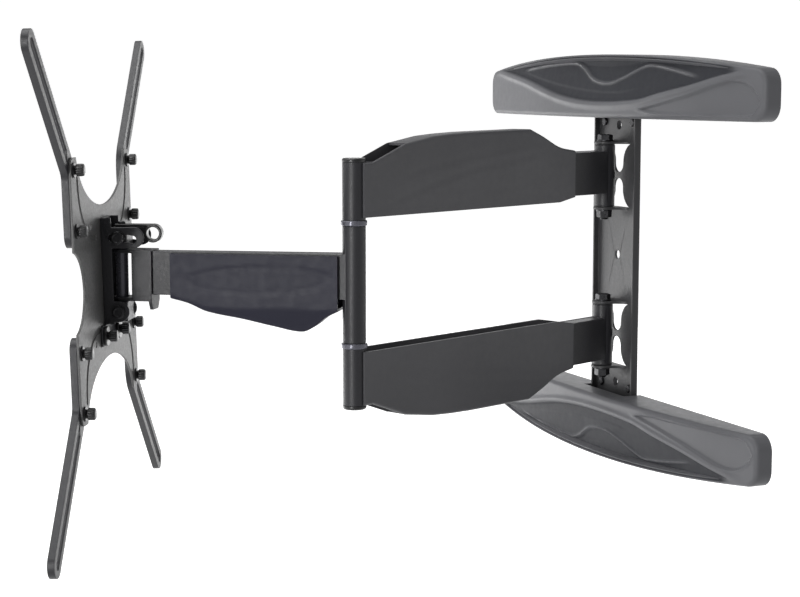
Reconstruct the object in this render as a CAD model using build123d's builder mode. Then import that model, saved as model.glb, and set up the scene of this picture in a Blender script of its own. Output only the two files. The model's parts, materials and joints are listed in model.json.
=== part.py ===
from build123d import *

import os
from math import cos, radians, sin

# Full motion wall mount for a flat screen, in millimetres.
# +Z is up, the wall is the plane Y = 0, the room is on the -Y side, and the origin
# is the centre of the wall plate on the wall. The mount is drawn partly folded.

os.makedirs("parts", exist_ok=True)

# ---------------------------------------------------------------- driving dimensions
# Pose: plan angles are measured from straight out of the wall, positive towards +X.
arm_angle = 24.4
forearm_angle = -33.8
head_angle = -26.6
tilt_angle = 1.5  # the top of the screen plate leans into the room by this much

# Reach
arm_length = 356.0  # wall hinge to elbow
forearm_length = 206.0  # elbow to swivel spindle
hinge_out = 20.5  # wall hinge axis, out from the wall
arm_spacing = 158.0  # between the two wall hinge stations

# Running clearances
turn_gap = 0.3  # between faces that turn past each other
bush_gap = 0.03  # radial, pin in bushing
fit_gap = 0.3  # between pieces that are fixed side by side
cut_spare = 1.0  # how far a cutting shape runs past what it cuts

# Wall plate: a folded steel channel
sheet = 2.5
plate_width = 80.0
plate_height = 364.0
plate_flange = 8.0
plate_screw_r = 2.5
plate_screw_head_r = 4.3
plate_screw_head = 2.4
plate_screw_inset = 7.0
ear_gap = 62.0  # clear height between the two ears of a station
ear_root = 42.0
ear_end_r = 11.0
window_nose_r = 9.0
window_waist = 6.0
nose_spread = 0.98  # share of the nose radius where a tongue meets its round end
flank_spread = 1.25  # share of it half way down the flank
flank_rise = 0.45  # how far up the flank that is, as a share of the straight reach
lag_r = 4.4
lag_z = 128.5

# Cross bars behind the covers
bar_length = 494.0
bar_height = 37.0
bar_z = 160.0
tab_width = 68.0
tab_reach = 20.0
tab_lap = 8.0  # how far a tab runs up into its bar
bar_corner_r = 6.0
stud_spacing = 406.4
stud_hole_r = 4.5
slot_long = 34.0
slot_places = (70.0, 130.0)

# Wall covers
cover_length = 530.0
cover_edge_z = 136.0
cover_end_height = 45.0
cover_mid_height = 61.0
cover_mid_depth = 40.0
cover_end_depth = 16.0
cover_end_r = 15.0
cover_wall = 2.5
cover_rim_r = 4.0
notch_play = 0.5  # each side of the wall plate
clip_x = 165.0
clip_width = 14.0
clip_sheet = 1.2
clip_reach = 12.0
clip_rise = 14.0

# Wall hinge pins
hinge_bolt_r = 4.0
hinge_hex = 6.5  # half the width across flats of its head and nut
hinge_head = 5.3
hinge_nut = 6.5
bolt_tail = 2.0  # thread that stands past a nut
hinge_washer_r = 8.0
hinge_washer = 1.5
sleeve_r = 10.0
hinge_bush_r = 7.5
bush_flange = 1.0
bush_length = 15.0
bush_step = 0.4  # how far a bushing's flange stays inside the sleeve

# Arm pair
bar_thick = 16.0
tube_wall = 2.0
arm_bar_height = 41.0
arm_bar_z = 82.5
shell_thick = 25.0
shell_wall = 2.2
arm_edge_z = 57.0
arm_crown_z = 127.0
arm_shell_start = 64.0
shell_open = 64.0  # length of the open slot in its top at the elbow
fin_neck = 24.0  # where its outline leaves the bar, from its start
fin_rise = 68.0  # where it reaches its crown
fin_fall = 138.0  # where it leaves its crown, from the elbow
fin_brow = 52.0
fin_shoulder = 88.3  # from the elbow
fin_shoulder_drop = 3.5
fin_brow_drop = 9.0
fin_toe = 11.0
heel_rise = 4.0
vent_r = 1.5
arm_vents = (107.0, 249.0)
arm_screw_places = (110.0, 300.0)
cover_screw_r = 3.4

# Elbow
elbow_pin_r = 6.0
elbow_bush_r = 8.0
elbow_half = 103.5  # half the height of the elbow post, without its caps
fore_sleeve_half = 49.7
ring_thick = 4.5
ring_r = 11.3
ring_round = 1.1
cap_r = 10.2
cap_thick = 3.5
cap_round = 2.0

# Forearm
fore_bar_height = 37.6
fore_z = 7.0
fore_edge_z = 24.5
fore_belly_z = -41.0
fore_tuck = 32.0  # its deepest point, from the elbow end
fore_waist = 32.0  # where its belly meets the bar's underside, from the far end
fore_waist_rise = 16.0
fore_hip_drop = 4.0
fore_flank_rise = 10.0
fore_hollow_rise = 13.0
fore_tuck_rise = 18.5
fore_mouth = 36.0  # height of the opening over the elbow sleeve
fore_mouth_drop = 14.0
fore_shell_start = 12.0
fore_shell_end = 159.0
fore_vents = (53.0, 123.0)
fore_screw_places = (60.0, 130.0)

# Swivel bracket and spindle
bracket_sheet = 3.0
bracket_width = 22.0
bracket_back = 30.0
bracket_top = 27.0
bracket_bottom = -17.5
bracket_skirt = 7.5
bracket_nose_r = 9.0
bracket_chamfer = 4.0
cheek_start = 12.0
spindle_r = 5.5
swivel_bush_r = 6.5
block_width = 27.0
block_depth = 14.0
block_height = 17.0
block_round = 1.5
pivot_z = -26.5
lock_z = 37.5
spindle_grip = 5.0

# Cable loop on top of the head
loop_r = 8.0
loop_thick = 2.6
loop_width = 10.0
loop_reach = 28.0
loop_screw_r = 1.8
loop_head_r = 3.4
loop_head = 2.2

# Tilt head
tilt_bolt_r = 3.0
tilt_hex = 5.0  # half the width across flats of its head and nut
tilt_head = 3.6
tilt_nut = 4.0
tilt_tail = 1.0
pivot_play = 0.08
tilt_washer_r = 5.8
tilt_washer = 1.2
friction_r = 6.6
tilt_up = 2.0
tilt_down = 12.0
channel_sheet = 2.0
channel_inner = 29.0
channel_top = 55.0
channel_bottom = -37.0
channel_flange = 9.0
head_reach = 13.0  # spindle axis to the back of the screen plate
lug_r = 9.0
slot_play = 0.2
slot_spare = 1.0  # degrees of slot past each end of the tilt, and the metal beyond it
foot_width = 66.0
foot_height = 18.0
foot_corner_r = 4.0
rivet_r = 2.0
rivet_head_r = 3.6
rivet_head = 1.2
rivet_x = 9.0
rivet_levels = (44.0, 20.0, -8.0, -28.0)

# Screen plate and its four extension arms
screen_sheet = 2.0
vesa_outer = 200.0
vesa_inner = 100.0
vesa_small = 100.0
vesa_hole_r = 2.7
lobe_r = 10.0
notch_rise = 66.0
notch_half = 90.0
notch_depth = 50.0
waist_half = 80.0
waist_rise = 34.0
waist_out = 8.0  # centre of the side cut, past the lobes
bead_width = 5.0
bead_depth = 0.8
bead_points = ((34.0, 40.0), (74.0, 54.0), (90.0, 92.0))
reach_square = 400.0
extension_width = 21.0
extension_depth = 6.0
extension_sheet = 2.0
extension_slot = 8.4
extension_foot = 11.0
extension_bend_r = 22.0
knob_r = 5.2
knob_long = 8.0
knob_washer_r = 6.2
knob_washer = 1.2
carriage_head_r = 5.6
lock_r = 2.5
lock_x = 24.0
lock_disc_r = 8.5
lock_disc = 2.6
carriage_head = 2.4
knob_spare = 2.0  # solid end of a knob, past its bolt

# ---------------------------------------------------------------- frames


def heading(angle):
    """Unit vector in plan, turned from straight out of the wall towards +X."""
    return Vector(sin(radians(angle)), -cos(radians(angle)), 0)


def frame(origin, angle):
    """Upright frame: its x runs along the heading, its y to the right, its z up."""
    return Plane(origin=origin, x_dir=heading(angle), z_dir=(0, 0, 1))


def elevation(base, offset=0.0):
    """Vertical plane along a frame's x, with z as the sketch's y."""
    return Plane(base.location * Plane.XZ.offset(offset).location)


def facing(base, offset=0.0):
    """Vertical plane across a frame's x, seen as (right, up)."""
    return Plane(base.location * Plane.YZ.offset(offset).location)


def across(base, height, reach=0.0, start=0.0):
    """Plane whose normal is a frame's y, centred at (reach, height)."""
    point = Location((reach, start, height), (-90, 0, 0))
    return Plane(base.location * point)


arm_frame = frame((0, -hinge_out, 0), arm_angle)
elbow_point = arm_frame.from_local_coords(Vector(arm_length, 0, 0))
forearm_frame = frame(elbow_point, forearm_angle)
swivel_point = forearm_frame.from_local_coords(Vector(forearm_length, 0, 0))
bracket_frame = frame(swivel_point, forearm_angle)
head_frame = frame(swivel_point, head_angle)
pivot_point = head_frame.from_local_coords(Vector(0, 0, pivot_z))
lean = Location((0, 0, 0), (0, tilt_angle, 0))
tilt_frame = Plane(Plane(pivot_point, x_dir=heading(head_angle), z_dir=(0, 0, 1)).location * lean)

web_back = -sheet
web_front = web_back - sheet
station_z = arm_spacing / 2
ear_top = ear_gap / 2 + sheet

# ---------------------------------------------------------------- wall plate

ear_reach = hinge_out + web_front + ear_end_r
window_height = ear_gap / 2 - window_waist / 2


def tongue(root, reach, nose_r):
    """Outline of an ear, or of the window that it was cut from."""
    half_nose = nose_r * nose_spread
    end_y = reach - nose_r
    with BuildLine(mode=Mode.PRIVATE) as outline:
        flat = Line((-root / 2, 0), (root / 2, 0))
        ThreePointArc(flat @ 1, (nose_r * flank_spread, end_y * flank_rise), (half_nose, end_y))
        ThreePointArc((half_nose, end_y), (0, reach), (-half_nose, end_y))
        ThreePointArc((-half_nose, end_y), (-nose_r * flank_spread, end_y * flank_rise), flat @ 0)
    return outline.edges()


with BuildPart() as wall_plate:
    with BuildSketch(Plane.XY.offset(-plate_height / 2)):
        with Locations((0, web_back - plate_flange / 2)):
            Rectangle(plate_width, plate_flange)
        with Locations((0, web_front - plate_flange / 2)):
            Rectangle(plate_width - 2 * sheet, plate_flange, mode=Mode.SUBTRACT)
    extrude(amount=plate_height)
    bends = wall_plate.edges().filter_by(Axis.Z).group_by(Axis.Y)[-1]
    fillet(bends, sheet * 0.9)
    for station in (station_z, -station_z):
        for way in (1, -1):
            fold_z = station + way * ear_gap / 2
            with BuildSketch(Plane((0, web_front, fold_z), x_dir=(1, 0, 0), z_dir=(0, way, 0))):
                make_face(tongue(ear_root, window_height, window_nose_r))
            extrude(amount=sheet * 2, both=True, mode=Mode.SUBTRACT)
            with BuildSketch(Plane((0, web_back, fold_z), x_dir=(-way, 0, 0), z_dir=(0, 0, way))):
                make_face(tongue(ear_root, ear_reach + sheet, ear_end_r))
                with Locations((0, hinge_out + web_back)):
                    Circle(hinge_bolt_r, mode=Mode.SUBTRACT)
            extrude(amount=sheet)
    with Locations(Plane((0, web_front, 0), x_dir=(1, 0, 0), z_dir=(0, -1, 0))):
        with Locations((0, lag_z), (0, 0), (0, -lag_z)):
            Hole(lag_r)
    screw_rows = (bar_z - bar_height / 2 - tab_reach / 2, bar_z)
    screw_x = tab_width / 2 - plate_screw_inset
    screw_places = [(x, way * z) for x in (-screw_x, screw_x) for z in screw_rows for way in (1, -1)]
    with Locations(Plane((0, web_front, 0), x_dir=(1, 0, 0), z_dir=(0, -1, 0))):
        with Locations(*screw_places):
            Hole(plate_screw_r)
wall_plate.part.label = "wall_plate"
export_step(wall_plate.part, "parts/wall_plate.step")

# ---------------------------------------------------------------- cross bars, their screws and the clips


def wall_face(y):
    """Upright plane at the given Y that looks into the room, with +X to the right."""
    return Plane((0, y, 0), x_dir=(1, 0, 0), z_dir=(0, -1, 0))


with BuildPart() as upper_cross_bar:
    with BuildSketch(wall_face(0)):
        with Locations((0, bar_z)):
            RectangleRounded(bar_length, bar_height, bar_corner_r)
        with Locations((0, bar_z - bar_height / 2 - (tab_reach - tab_lap) / 2)):
            Rectangle(tab_width, tab_reach + tab_lap)
        with Locations((stud_spacing / 2, bar_z), (-stud_spacing / 2, bar_z)):
            Circle(stud_hole_r, mode=Mode.SUBTRACT)
        with Locations(*[(way * x, bar_z) for x in slot_places for way in (1, -1)]):
            SlotOverall(slot_long, 2 * stud_hole_r, mode=Mode.SUBTRACT)
        with Locations((0, lag_z)):
            Circle(lag_r, mode=Mode.SUBTRACT)
        with Locations(*[(x, z) for x, z in screw_places if z > 0]):
            Circle(plate_screw_r, mode=Mode.SUBTRACT)
    extrude(amount=sheet)
upper_cross_bar.part.label = "upper_cross_bar"
export_step(upper_cross_bar.part, "parts/upper_cross_bar.step")

with BuildPart() as lower_cross_bar:
    mirror(upper_cross_bar.part, about=Plane.XY)
lower_cross_bar.part.label = "lower_cross_bar"
export_step(lower_cross_bar.part, "parts/lower_cross_bar.step")

with BuildPart() as plate_screws:
    with BuildSketch(wall_face(web_front)):
        with Locations(*screw_places):
            Circle(plate_screw_head_r)
    extrude(amount=plate_screw_head)
    fillet(plate_screws.edges().group_by(Axis.Y)[0], plate_screw_head / 2)
    with BuildSketch(wall_face(-turn_gap)):
        with Locations(*screw_places):
            Circle(plate_screw_r)
    extrude(amount=2 * sheet - turn_gap)
plate_screws.part.label = "plate_screws"
export_step(plate_screws.part, "parts/plate_screws.step")

clip_z = cover_edge_z + cover_wall
with BuildPart() as cover_clips:
    for way in (1, -1):
        with BuildSketch(Plane.YZ):
            with BuildLine():
                Polyline(
                    (web_back, clip_z + clip_rise),
                    (web_back, clip_z),
                    (web_back - clip_reach, clip_z),
                    (web_back - clip_reach, clip_z + clip_sheet),
                    (web_back - clip_sheet, clip_z + clip_sheet),
                    (web_back - clip_sheet, clip_z + clip_rise),
                    close=True,
                )
            make_face()
            if way < 0:
                mirror(about=Plane.XZ, mode=Mode.REPLACE)
        extrude(amount=clip_x + clip_width / 2, both=True)
    with BuildSketch(Plane.XY.offset(-cover_edge_z * 2)):
        Rectangle(2 * clip_x - clip_width, 4 * clip_reach)
    extrude(amount=cover_edge_z * 4, mode=Mode.SUBTRACT)
cover_clips.part.label = "cover_clips"
export_step(cover_clips.part, "parts/cover_clips.step")

# ---------------------------------------------------------------- wall covers

cover_half = cover_length / 2
end_top = cover_edge_z + cover_end_height
mid_top = cover_edge_z + cover_mid_height


def cover_outline(inset):
    """Front outline: a straight edge towards the arms and a crowned edge away from them."""
    half = cover_half - inset
    low = cover_edge_z + inset
    top = end_top - inset
    with BuildSketch(wall_face(0), mode=Mode.PRIVATE) as outline:
        with BuildLine():
            base = Line((-half, low), (half, low))
            side = Line(base @ 1, (half, top))
            crown = ThreePointArc(side @ 1, (0, mid_top - inset), (-half, top))
            Line(crown @ 1, base @ 0)
        make_face()
        fillet(outline.vertices(), cover_end_r - inset)
    return outline.sketch


def cover_plan(inset):
    """Plan of the bowed front, from the wall outwards."""
    half = cover_half + cut_spare
    with BuildLine(mode=Mode.PRIVATE) as outline:
        back = Line((half, cut_spare), (-half, cut_spare))
        side = Line(back @ 1, (-half, inset - cover_end_depth))
        bow = ThreePointArc(side @ 1, (0, inset - cover_mid_depth), (half, inset - cover_end_depth))
        Line(bow @ 1, back @ 0)
    return outline.edges()


with BuildPart() as cover_core:
    extrude(cover_outline(cover_wall), amount=cover_mid_depth + cut_spare)
    with BuildSketch(Plane.XY):
        make_face(cover_plan(cover_wall))
    extrude(amount=2 * mid_top, mode=Mode.INTERSECT)

with BuildPart() as upper_cover:
    extrude(cover_outline(0), amount=cover_mid_depth + cut_spare)
    with BuildSketch(Plane.XY):
        make_face(cover_plan(0))
    extrude(amount=2 * mid_top, mode=Mode.INTERSECT)
    front = upper_cover.faces().sort_by(Axis.Y)[0]
    fillet(front.edges(), cover_rim_r)
    add(cover_core.part, mode=Mode.SUBTRACT)
    with Locations((0, web_back - plate_flange / 2, cover_edge_z)):
        Box(plate_width + 2 * notch_play, 3 * plate_flange, 4 * cover_wall, mode=Mode.SUBTRACT)
upper_cover.part.label = "upper_cover"
export_step(upper_cover.part, "parts/upper_cover.step")

with BuildPart() as lower_cover:
    mirror(upper_cover.part, about=Plane.XY)
lower_cover.part.label = "lower_cover"
export_step(lower_cover.part, "parts/lower_cover.step")

# ---------------------------------------------------------------- wall hinge pins

hinge_base = Plane((0, -hinge_out, 0))
stations = (station_z, -station_z)

with BuildPart() as hinge_bolts:
    for station in stations:
        with BuildSketch(hinge_base.offset(station + ear_top + hinge_washer)):
            RegularPolygon(hinge_hex, 6, major_radius=False)
        extrude(amount=hinge_head)
        with BuildSketch(hinge_base.offset(station - ear_top - hinge_washer - hinge_nut - bolt_tail)):
            Circle(hinge_bolt_r)
        extrude(amount=2 * (ear_top + hinge_washer) + hinge_nut + bolt_tail)
hinge_bolts.part.label = "hinge_bolts"
export_step(hinge_bolts.part, "parts/hinge_bolts.step")

with BuildPart() as hinge_nuts:
    for station in stations:
        with BuildSketch(hinge_base.offset(station - ear_top - hinge_washer - hinge_nut)):
            RegularPolygon(hinge_hex, 6, major_radius=False)
            Circle(hinge_bolt_r, mode=Mode.SUBTRACT)
        extrude(amount=hinge_nut)
hinge_nuts.part.label = "hinge_nuts"
export_step(hinge_nuts.part, "parts/hinge_nuts.step")

with BuildPart() as hinge_washers:
    for station in stations:
        for level in (ear_top, -ear_top - hinge_washer):
            with BuildSketch(hinge_base.offset(station + level)):
                Circle(hinge_washer_r)
                Circle(hinge_bolt_r, mode=Mode.SUBTRACT)
            extrude(amount=hinge_washer)
hinge_washers.part.label = "hinge_washers"
export_step(hinge_washers.part, "parts/hinge_washers.step")

# ---------------------------------------------------------------- arm pair

sleeve_half = ear_gap / 2 - turn_gap - bush_flange

with BuildPart() as arm_bushings:
    for station in stations:
        for way in (1, -1):
            rim = station + way * sleeve_half
            with BuildSketch(arm_frame.offset(rim)):
                Circle(sleeve_r - bush_step)
                Circle(hinge_bolt_r + bush_gap, mode=Mode.SUBTRACT)
            extrude(amount=way * bush_flange)
            with BuildSketch(arm_frame.offset(rim)):
                Circle(hinge_bush_r)
                Circle(hinge_bolt_r + bush_gap, mode=Mode.SUBTRACT)
            extrude(amount=-way * bush_length)
arm_bushings.part.label = "arm_bushings"
export_step(arm_bushings.part, "parts/arm_bushings.step")

post_inner = fore_sleeve_half + turn_gap + ring_thick
with BuildPart() as upper_arm:
    with BuildSketch(arm_frame.offset(station_z - sleeve_half)):
        Circle(sleeve_r)
    extrude(amount=2 * sleeve_half)
    with BuildSketch(arm_frame.offset(post_inner)):
        with Locations((arm_length, 0)):
            Circle(sleeve_r)
    extrude(amount=elbow_half - post_inner)
    with BuildSketch(arm_frame.offset(arm_bar_z - arm_bar_height / 2)):
        with Locations((arm_length / 2, 0)):
            Rectangle(arm_length, bar_thick)
    extrude(amount=arm_bar_height)
    with BuildSketch(arm_frame.offset(arm_bar_z - arm_bar_height / 2 + tube_wall)):
        with Locations((arm_length / 2, 0)):
            Rectangle(arm_length - 2 * sleeve_r - 2 * tube_wall, bar_thick - 2 * tube_wall)
    extrude(amount=arm_bar_height - 2 * tube_wall, mode=Mode.SUBTRACT)
    with BuildSketch(arm_frame.offset(arm_bar_z - arm_bar_height)):
        Circle(hinge_bush_r)
        with Locations((arm_length, 0)):
            Circle(elbow_pin_r)
        with Locations(*[(s, 0) for s in arm_vents]):
            Circle(vent_r)
    extrude(amount=arm_bar_height, mode=Mode.SUBTRACT)
    with BuildSketch(arm_frame.offset(arm_bar_z)):
        Circle(hinge_bush_r)
        with Locations((arm_length, 0)):
            Circle(elbow_pin_r)
    extrude(amount=arm_bar_height, mode=Mode.SUBTRACT)
upper_arm.part.label = "upper_arm"
export_step(upper_arm.part, "parts/upper_arm.step")

with BuildPart() as lower_arm:
    mirror(upper_arm.part, about=Plane.XY)
lower_arm.part.label = "lower_arm"
export_step(lower_arm.part, "parts/lower_arm.step")


def arm_fin(inset):
    """Side outline of an arm cover: a straight edge inside and a fin-shaped crown outside."""
    start = arm_shell_start + inset
    end = arm_length + inset
    edge = arm_edge_z - inset
    crown = arm_crown_z - inset
    heel = arm_bar_z + arm_bar_height / 2 + shell_wall + fit_gap - inset
    toe = elbow_half - fit_gap - inset
    with BuildLine(mode=Mode.PRIVATE) as outline:
        foot = Line((start, edge + heel_rise), (start, heel))
        neck = (start + fin_neck, heel + heel_rise)
        rise = Spline(foot @ 1, neck, (start + fin_rise, crown), tangents=((1, 0), (1, 0.1)))
        crest = Line(rise @ 1, (end - fin_fall, crown - 1))
        shoulder = (end - fin_shoulder, crown - fin_shoulder_drop)
        slope = ThreePointArc(crest @ 1, shoulder, (end - fin_brow, crown - fin_brow_drop))
        drop = Line(slope @ 1, (end - fin_toe, toe))
        nose = Line(drop @ 1, (end, toe))
        back = Line(nose @ 1, (end, edge))
        inner = Line(back @ 1, (start + fin_neck, edge))
        Line(inner @ 1, foot @ 0)
    return outline.edges()


with BuildPart() as fin_core:
    with BuildSketch(elevation(arm_frame)):
        make_face(arm_fin(shell_wall))
    extrude(amount=shell_thick / 2 - shell_wall, both=True)
    with BuildSketch(arm_frame.offset(arm_bar_z)):
        with Locations((arm_length - shell_open / 2 + sleeve_r, 0)):
            Rectangle(shell_open, shell_thick - 2 * shell_wall)
    extrude(amount=arm_crown_z - arm_bar_z)

with BuildPart() as upper_arm_cover:
    with BuildSketch(elevation(arm_frame)):
        make_face(arm_fin(0))
    extrude(amount=shell_thick / 2, both=True)
    add(fin_core.part, mode=Mode.SUBTRACT)
    with BuildSketch(elevation(arm_frame)):
        with Locations((arm_shell_start, arm_bar_z)):
            Rectangle(3 * shell_wall, arm_bar_height)
    extrude(amount=bar_thick / 2, both=True, mode=Mode.SUBTRACT)
upper_arm_cover.part.label = "upper_arm_cover"
export_step(upper_arm_cover.part, "parts/upper_arm_cover.step")

with BuildPart() as lower_arm_cover:
    mirror(upper_arm_cover.part, about=Plane.XY)
lower_arm_cover.part.label = "lower_arm_cover"
export_step(lower_arm_cover.part, "parts/lower_arm_cover.step")

with BuildPart() as arm_cover_screws:
    for way in (1, -1):
        for s in arm_screw_places:
            for side in (1, -1):
                with BuildSketch(across(arm_frame, way * arm_bar_z, s, side * bar_thick / 2)):
                    Circle(cover_screw_r)
                extrude(amount=side * (shell_thick / 2 - shell_wall - bar_thick / 2))
arm_cover_screws.part.label = "arm_cover_screws"
export_step(arm_cover_screws.part, "parts/arm_cover_screws.step")

# ---------------------------------------------------------------- elbow

elbow_base = Plane(elbow_point, x_dir=heading(arm_angle), z_dir=(0, 0, 1))

with BuildPart() as elbow_pin:
    with BuildSketch(elbow_base.offset(-elbow_half)):
        Circle(elbow_pin_r)
    extrude(amount=2 * elbow_half)
elbow_pin.part.label = "elbow_pin"
export_step(elbow_pin.part, "parts/elbow_pin.step")

with BuildPart() as elbow_rings:
    for low in (fore_sleeve_half + turn_gap, -post_inner):
        with BuildSketch(elbow_base.offset(low)):
            Circle(ring_r)
            Circle(elbow_pin_r, mode=Mode.SUBTRACT)
        extrude(amount=ring_thick)
    rims = elbow_rings.edges().filter_by(GeomType.CIRCLE).filter_by(lambda e: e.radius > sleeve_r)
    fillet(rims, ring_round)
elbow_rings.part.label = "elbow_rings"
export_step(elbow_rings.part, "parts/elbow_rings.step")

with BuildPart() as elbow_top_cap:
    with BuildSketch(elbow_base.offset(elbow_half)):
        Circle(cap_r)
    extrude(amount=cap_thick)
    fillet(elbow_top_cap.edges().group_by(Axis.Z)[-1], cap_round)
elbow_top_cap.part.label = "elbow_top_cap"
export_step(elbow_top_cap.part, "parts/elbow_top_cap.step")

with BuildPart() as elbow_bottom_cap:
    with BuildSketch(elbow_base.offset(-elbow_half)):
        Circle(cap_r)
    extrude(amount=-cap_thick)
    fillet(elbow_bottom_cap.edges().group_by(Axis.Z)[0], cap_round)
elbow_bottom_cap.part.label = "elbow_bottom_cap"
export_step(elbow_bottom_cap.part, "parts/elbow_bottom_cap.step")

with BuildPart() as elbow_bushings:
    for low in (-fore_sleeve_half, fore_sleeve_half - bush_length):
        with BuildSketch(elbow_base.offset(low)):
            Circle(elbow_bush_r)
            Circle(elbow_pin_r + bush_gap, mode=Mode.SUBTRACT)
        extrude(amount=bush_length)
elbow_bushings.part.label = "elbow_bushings"
export_step(elbow_bushings.part, "parts/elbow_bushings.step")

# ---------------------------------------------------------------- forearm

fore_bar_end = forearm_length - bracket_back
with BuildPart() as forearm:
    with BuildSketch(forearm_frame.offset(-fore_sleeve_half)):
        Circle(sleeve_r)
    extrude(amount=2 * fore_sleeve_half)
    with BuildSketch(forearm_frame.offset(fore_z - fore_bar_height / 2)):
        with Locations((fore_bar_end / 2, 0)):
            Rectangle(fore_bar_end, bar_thick)
    extrude(amount=fore_bar_height)
    with BuildSketch(forearm_frame.offset(fore_z - fore_bar_height / 2 + tube_wall)):
        with Locations(((fore_bar_end + sleeve_r) / 2, 0)):
            Rectangle(fore_bar_end - sleeve_r - 2 * tube_wall, bar_thick - 2 * tube_wall)
    extrude(amount=fore_bar_height - 2 * tube_wall, mode=Mode.SUBTRACT)
    with BuildSketch(forearm_frame.offset(-fore_sleeve_half)):
        Circle(elbow_bush_r)
    extrude(amount=2 * fore_sleeve_half, mode=Mode.SUBTRACT)
    with BuildSketch(forearm_frame.offset(fore_z - fore_bar_height)):
        with Locations(*[(s, 0) for s in fore_vents]):
            Circle(vent_r)
    extrude(amount=fore_bar_height, mode=Mode.SUBTRACT)
forearm.part.label = "forearm"
export_step(forearm.part, "parts/forearm.step")


def forearm_fin(inset):
    """Side outline of the forearm cover: straight on top, with a belly below."""
    start = fore_shell_start - inset
    end = fore_shell_end - inset
    top = fore_edge_z + inset
    belly = fore_belly_z + inset
    nose_z = fore_z - fore_bar_height / 2 - shell_wall - fit_gap + inset
    with BuildLine(mode=Mode.PRIVATE) as outline:
        edge = Line((start, top), (end, top))
        nose = Line(edge @ 1, (end, nose_z))
        waist = (end - fore_waist, belly + fore_waist_rise)
        bend = (end - fore_waist / 2, nose_z - fore_hip_drop)
        hip = Spline(nose @ 1, bend, waist, tangents=((-1, -0.1), (-1, -0.35)))
        flank = (end - 2 * fore_waist, belly + fore_flank_rise)
        sag = Spline(hip @ 1, flank, (start + fore_tuck, belly), tangents=((-1, -0.35), (-1, -0.15)))
        hollow = (start + fore_tuck / 3, belly + fore_hollow_rise)
        tuck = Spline(sag @ 1, hollow, (start, belly + fore_tuck_rise), tangents=((-1, 0.5), (-1, 0.2)))
        Line(tuck @ 1, edge @ 0)
    return outline.edges()


with BuildPart() as forearm_core:
    with BuildSketch(elevation(forearm_frame)):
        make_face(forearm_fin(shell_wall))
    extrude(amount=shell_thick / 2 - shell_wall, both=True)
    with BuildSketch(elevation(forearm_frame)):
        with Locations((fore_shell_start, fore_z - fore_mouth_drop)):
            Rectangle(6 * shell_wall, fore_mouth)
    extrude(amount=shell_thick / 2 - shell_wall, both=True)

with BuildPart() as forearm_cover:
    with BuildSketch(elevation(forearm_frame)):
        make_face(forearm_fin(0))
    extrude(amount=shell_thick / 2, both=True)
    add(forearm_core.part, mode=Mode.SUBTRACT)
    with BuildSketch(elevation(forearm_frame)):
        with Locations((fore_shell_end, fore_z)):
            Rectangle(3 * shell_wall, fore_bar_height)
    extrude(amount=bar_thick / 2, both=True, mode=Mode.SUBTRACT)
forearm_cover.part.label = "forearm_cover"
export_step(forearm_cover.part, "parts/forearm_cover.step")

with BuildPart() as forearm_cover_screws:
    for side in (1, -1):
        for s in fore_screw_places:
            with BuildSketch(across(forearm_frame, fore_z, s, side * bar_thick / 2)):
                Circle(cover_screw_r)
            extrude(amount=side * (shell_thick / 2 - shell_wall - bar_thick / 2))
forearm_cover_screws.part.label = "forearm_cover_screws"
export_step(forearm_cover_screws.part, "parts/forearm_cover_screws.step")

# ---------------------------------------------------------------- swivel bracket

with BuildPart() as swivel_bracket:
    with BuildSketch(facing(bracket_frame, -bracket_back)):
        with BuildLine():
            half = bracket_width / 2
            chamfered = bracket_bottom - bracket_skirt
            Polyline(
                (-half, bracket_top),
                (half, bracket_top),
                (half, bracket_bottom),
                (half - bracket_chamfer, chamfered),
                (bracket_chamfer - half, chamfered),
                (-half, bracket_bottom),
                close=True,
            )
        make_face()
    extrude(amount=bracket_sheet)
    for level, way in ((bracket_top, -1), (bracket_bottom, 1)):
        with BuildSketch(bracket_frame.offset(level)):
            with Locations((-bracket_back / 2, 0)):
                Rectangle(bracket_back, bracket_width)
            Circle(bracket_nose_r)
            Circle(swivel_bush_r, mode=Mode.SUBTRACT)
        extrude(amount=way * bracket_sheet)
    for side in (1, -1):
        with BuildSketch(bracket_frame.offset(bracket_bottom)):
            with Locations((-(bracket_back + cheek_start) / 2, side * (bracket_width - bracket_sheet) / 2)):
                Rectangle(bracket_back - cheek_start, bracket_sheet)
        extrude(amount=bracket_top - bracket_bottom)
swivel_bracket.part.label = "swivel_bracket"
export_step(swivel_bracket.part, "parts/swivel_bracket.step")

with BuildPart() as swivel_bushings:
    for level, way in ((bracket_top, -1), (bracket_bottom, 1)):
        with BuildSketch(bracket_frame.offset(level)):
            Circle(swivel_bush_r)
            Circle(spindle_r + bush_gap, mode=Mode.SUBTRACT)
        extrude(amount=way * bracket_sheet)
swivel_bushings.part.label = "swivel_bushings"
export_step(swivel_bushings.part, "parts/swivel_bushings.step")

# ---------------------------------------------------------------- swivel head

upper_block_low = lock_z - block_height / 2
lower_block_top = pivot_z + block_height / 2

with BuildPart() as swivel_spindle:
    with BuildSketch(head_frame.offset(lower_block_top - spindle_grip)):
        Circle(spindle_r)
    extrude(amount=upper_block_low - lower_block_top + 2 * spindle_grip)
swivel_spindle.part.label = "swivel_spindle"
export_step(swivel_spindle.part, "parts/swivel_spindle.step")

with BuildPart() as upper_tilt_block:
    with BuildSketch(head_frame.offset(upper_block_low)):
        Rectangle(block_depth, block_width)
    extrude(amount=block_height)
    fillet(upper_tilt_block.edges().filter_by(Axis.Z), block_round)
    with BuildSketch(head_frame.offset(upper_block_low)):
        Circle(spindle_r)
    extrude(amount=spindle_grip, mode=Mode.SUBTRACT)
    with BuildSketch(across(head_frame, lock_z)):
        Circle(tilt_bolt_r)
    extrude(amount=block_width, both=True, mode=Mode.SUBTRACT)
upper_tilt_block.part.label = "upper_tilt_block"
export_step(upper_tilt_block.part, "parts/upper_tilt_block.step")

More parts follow.
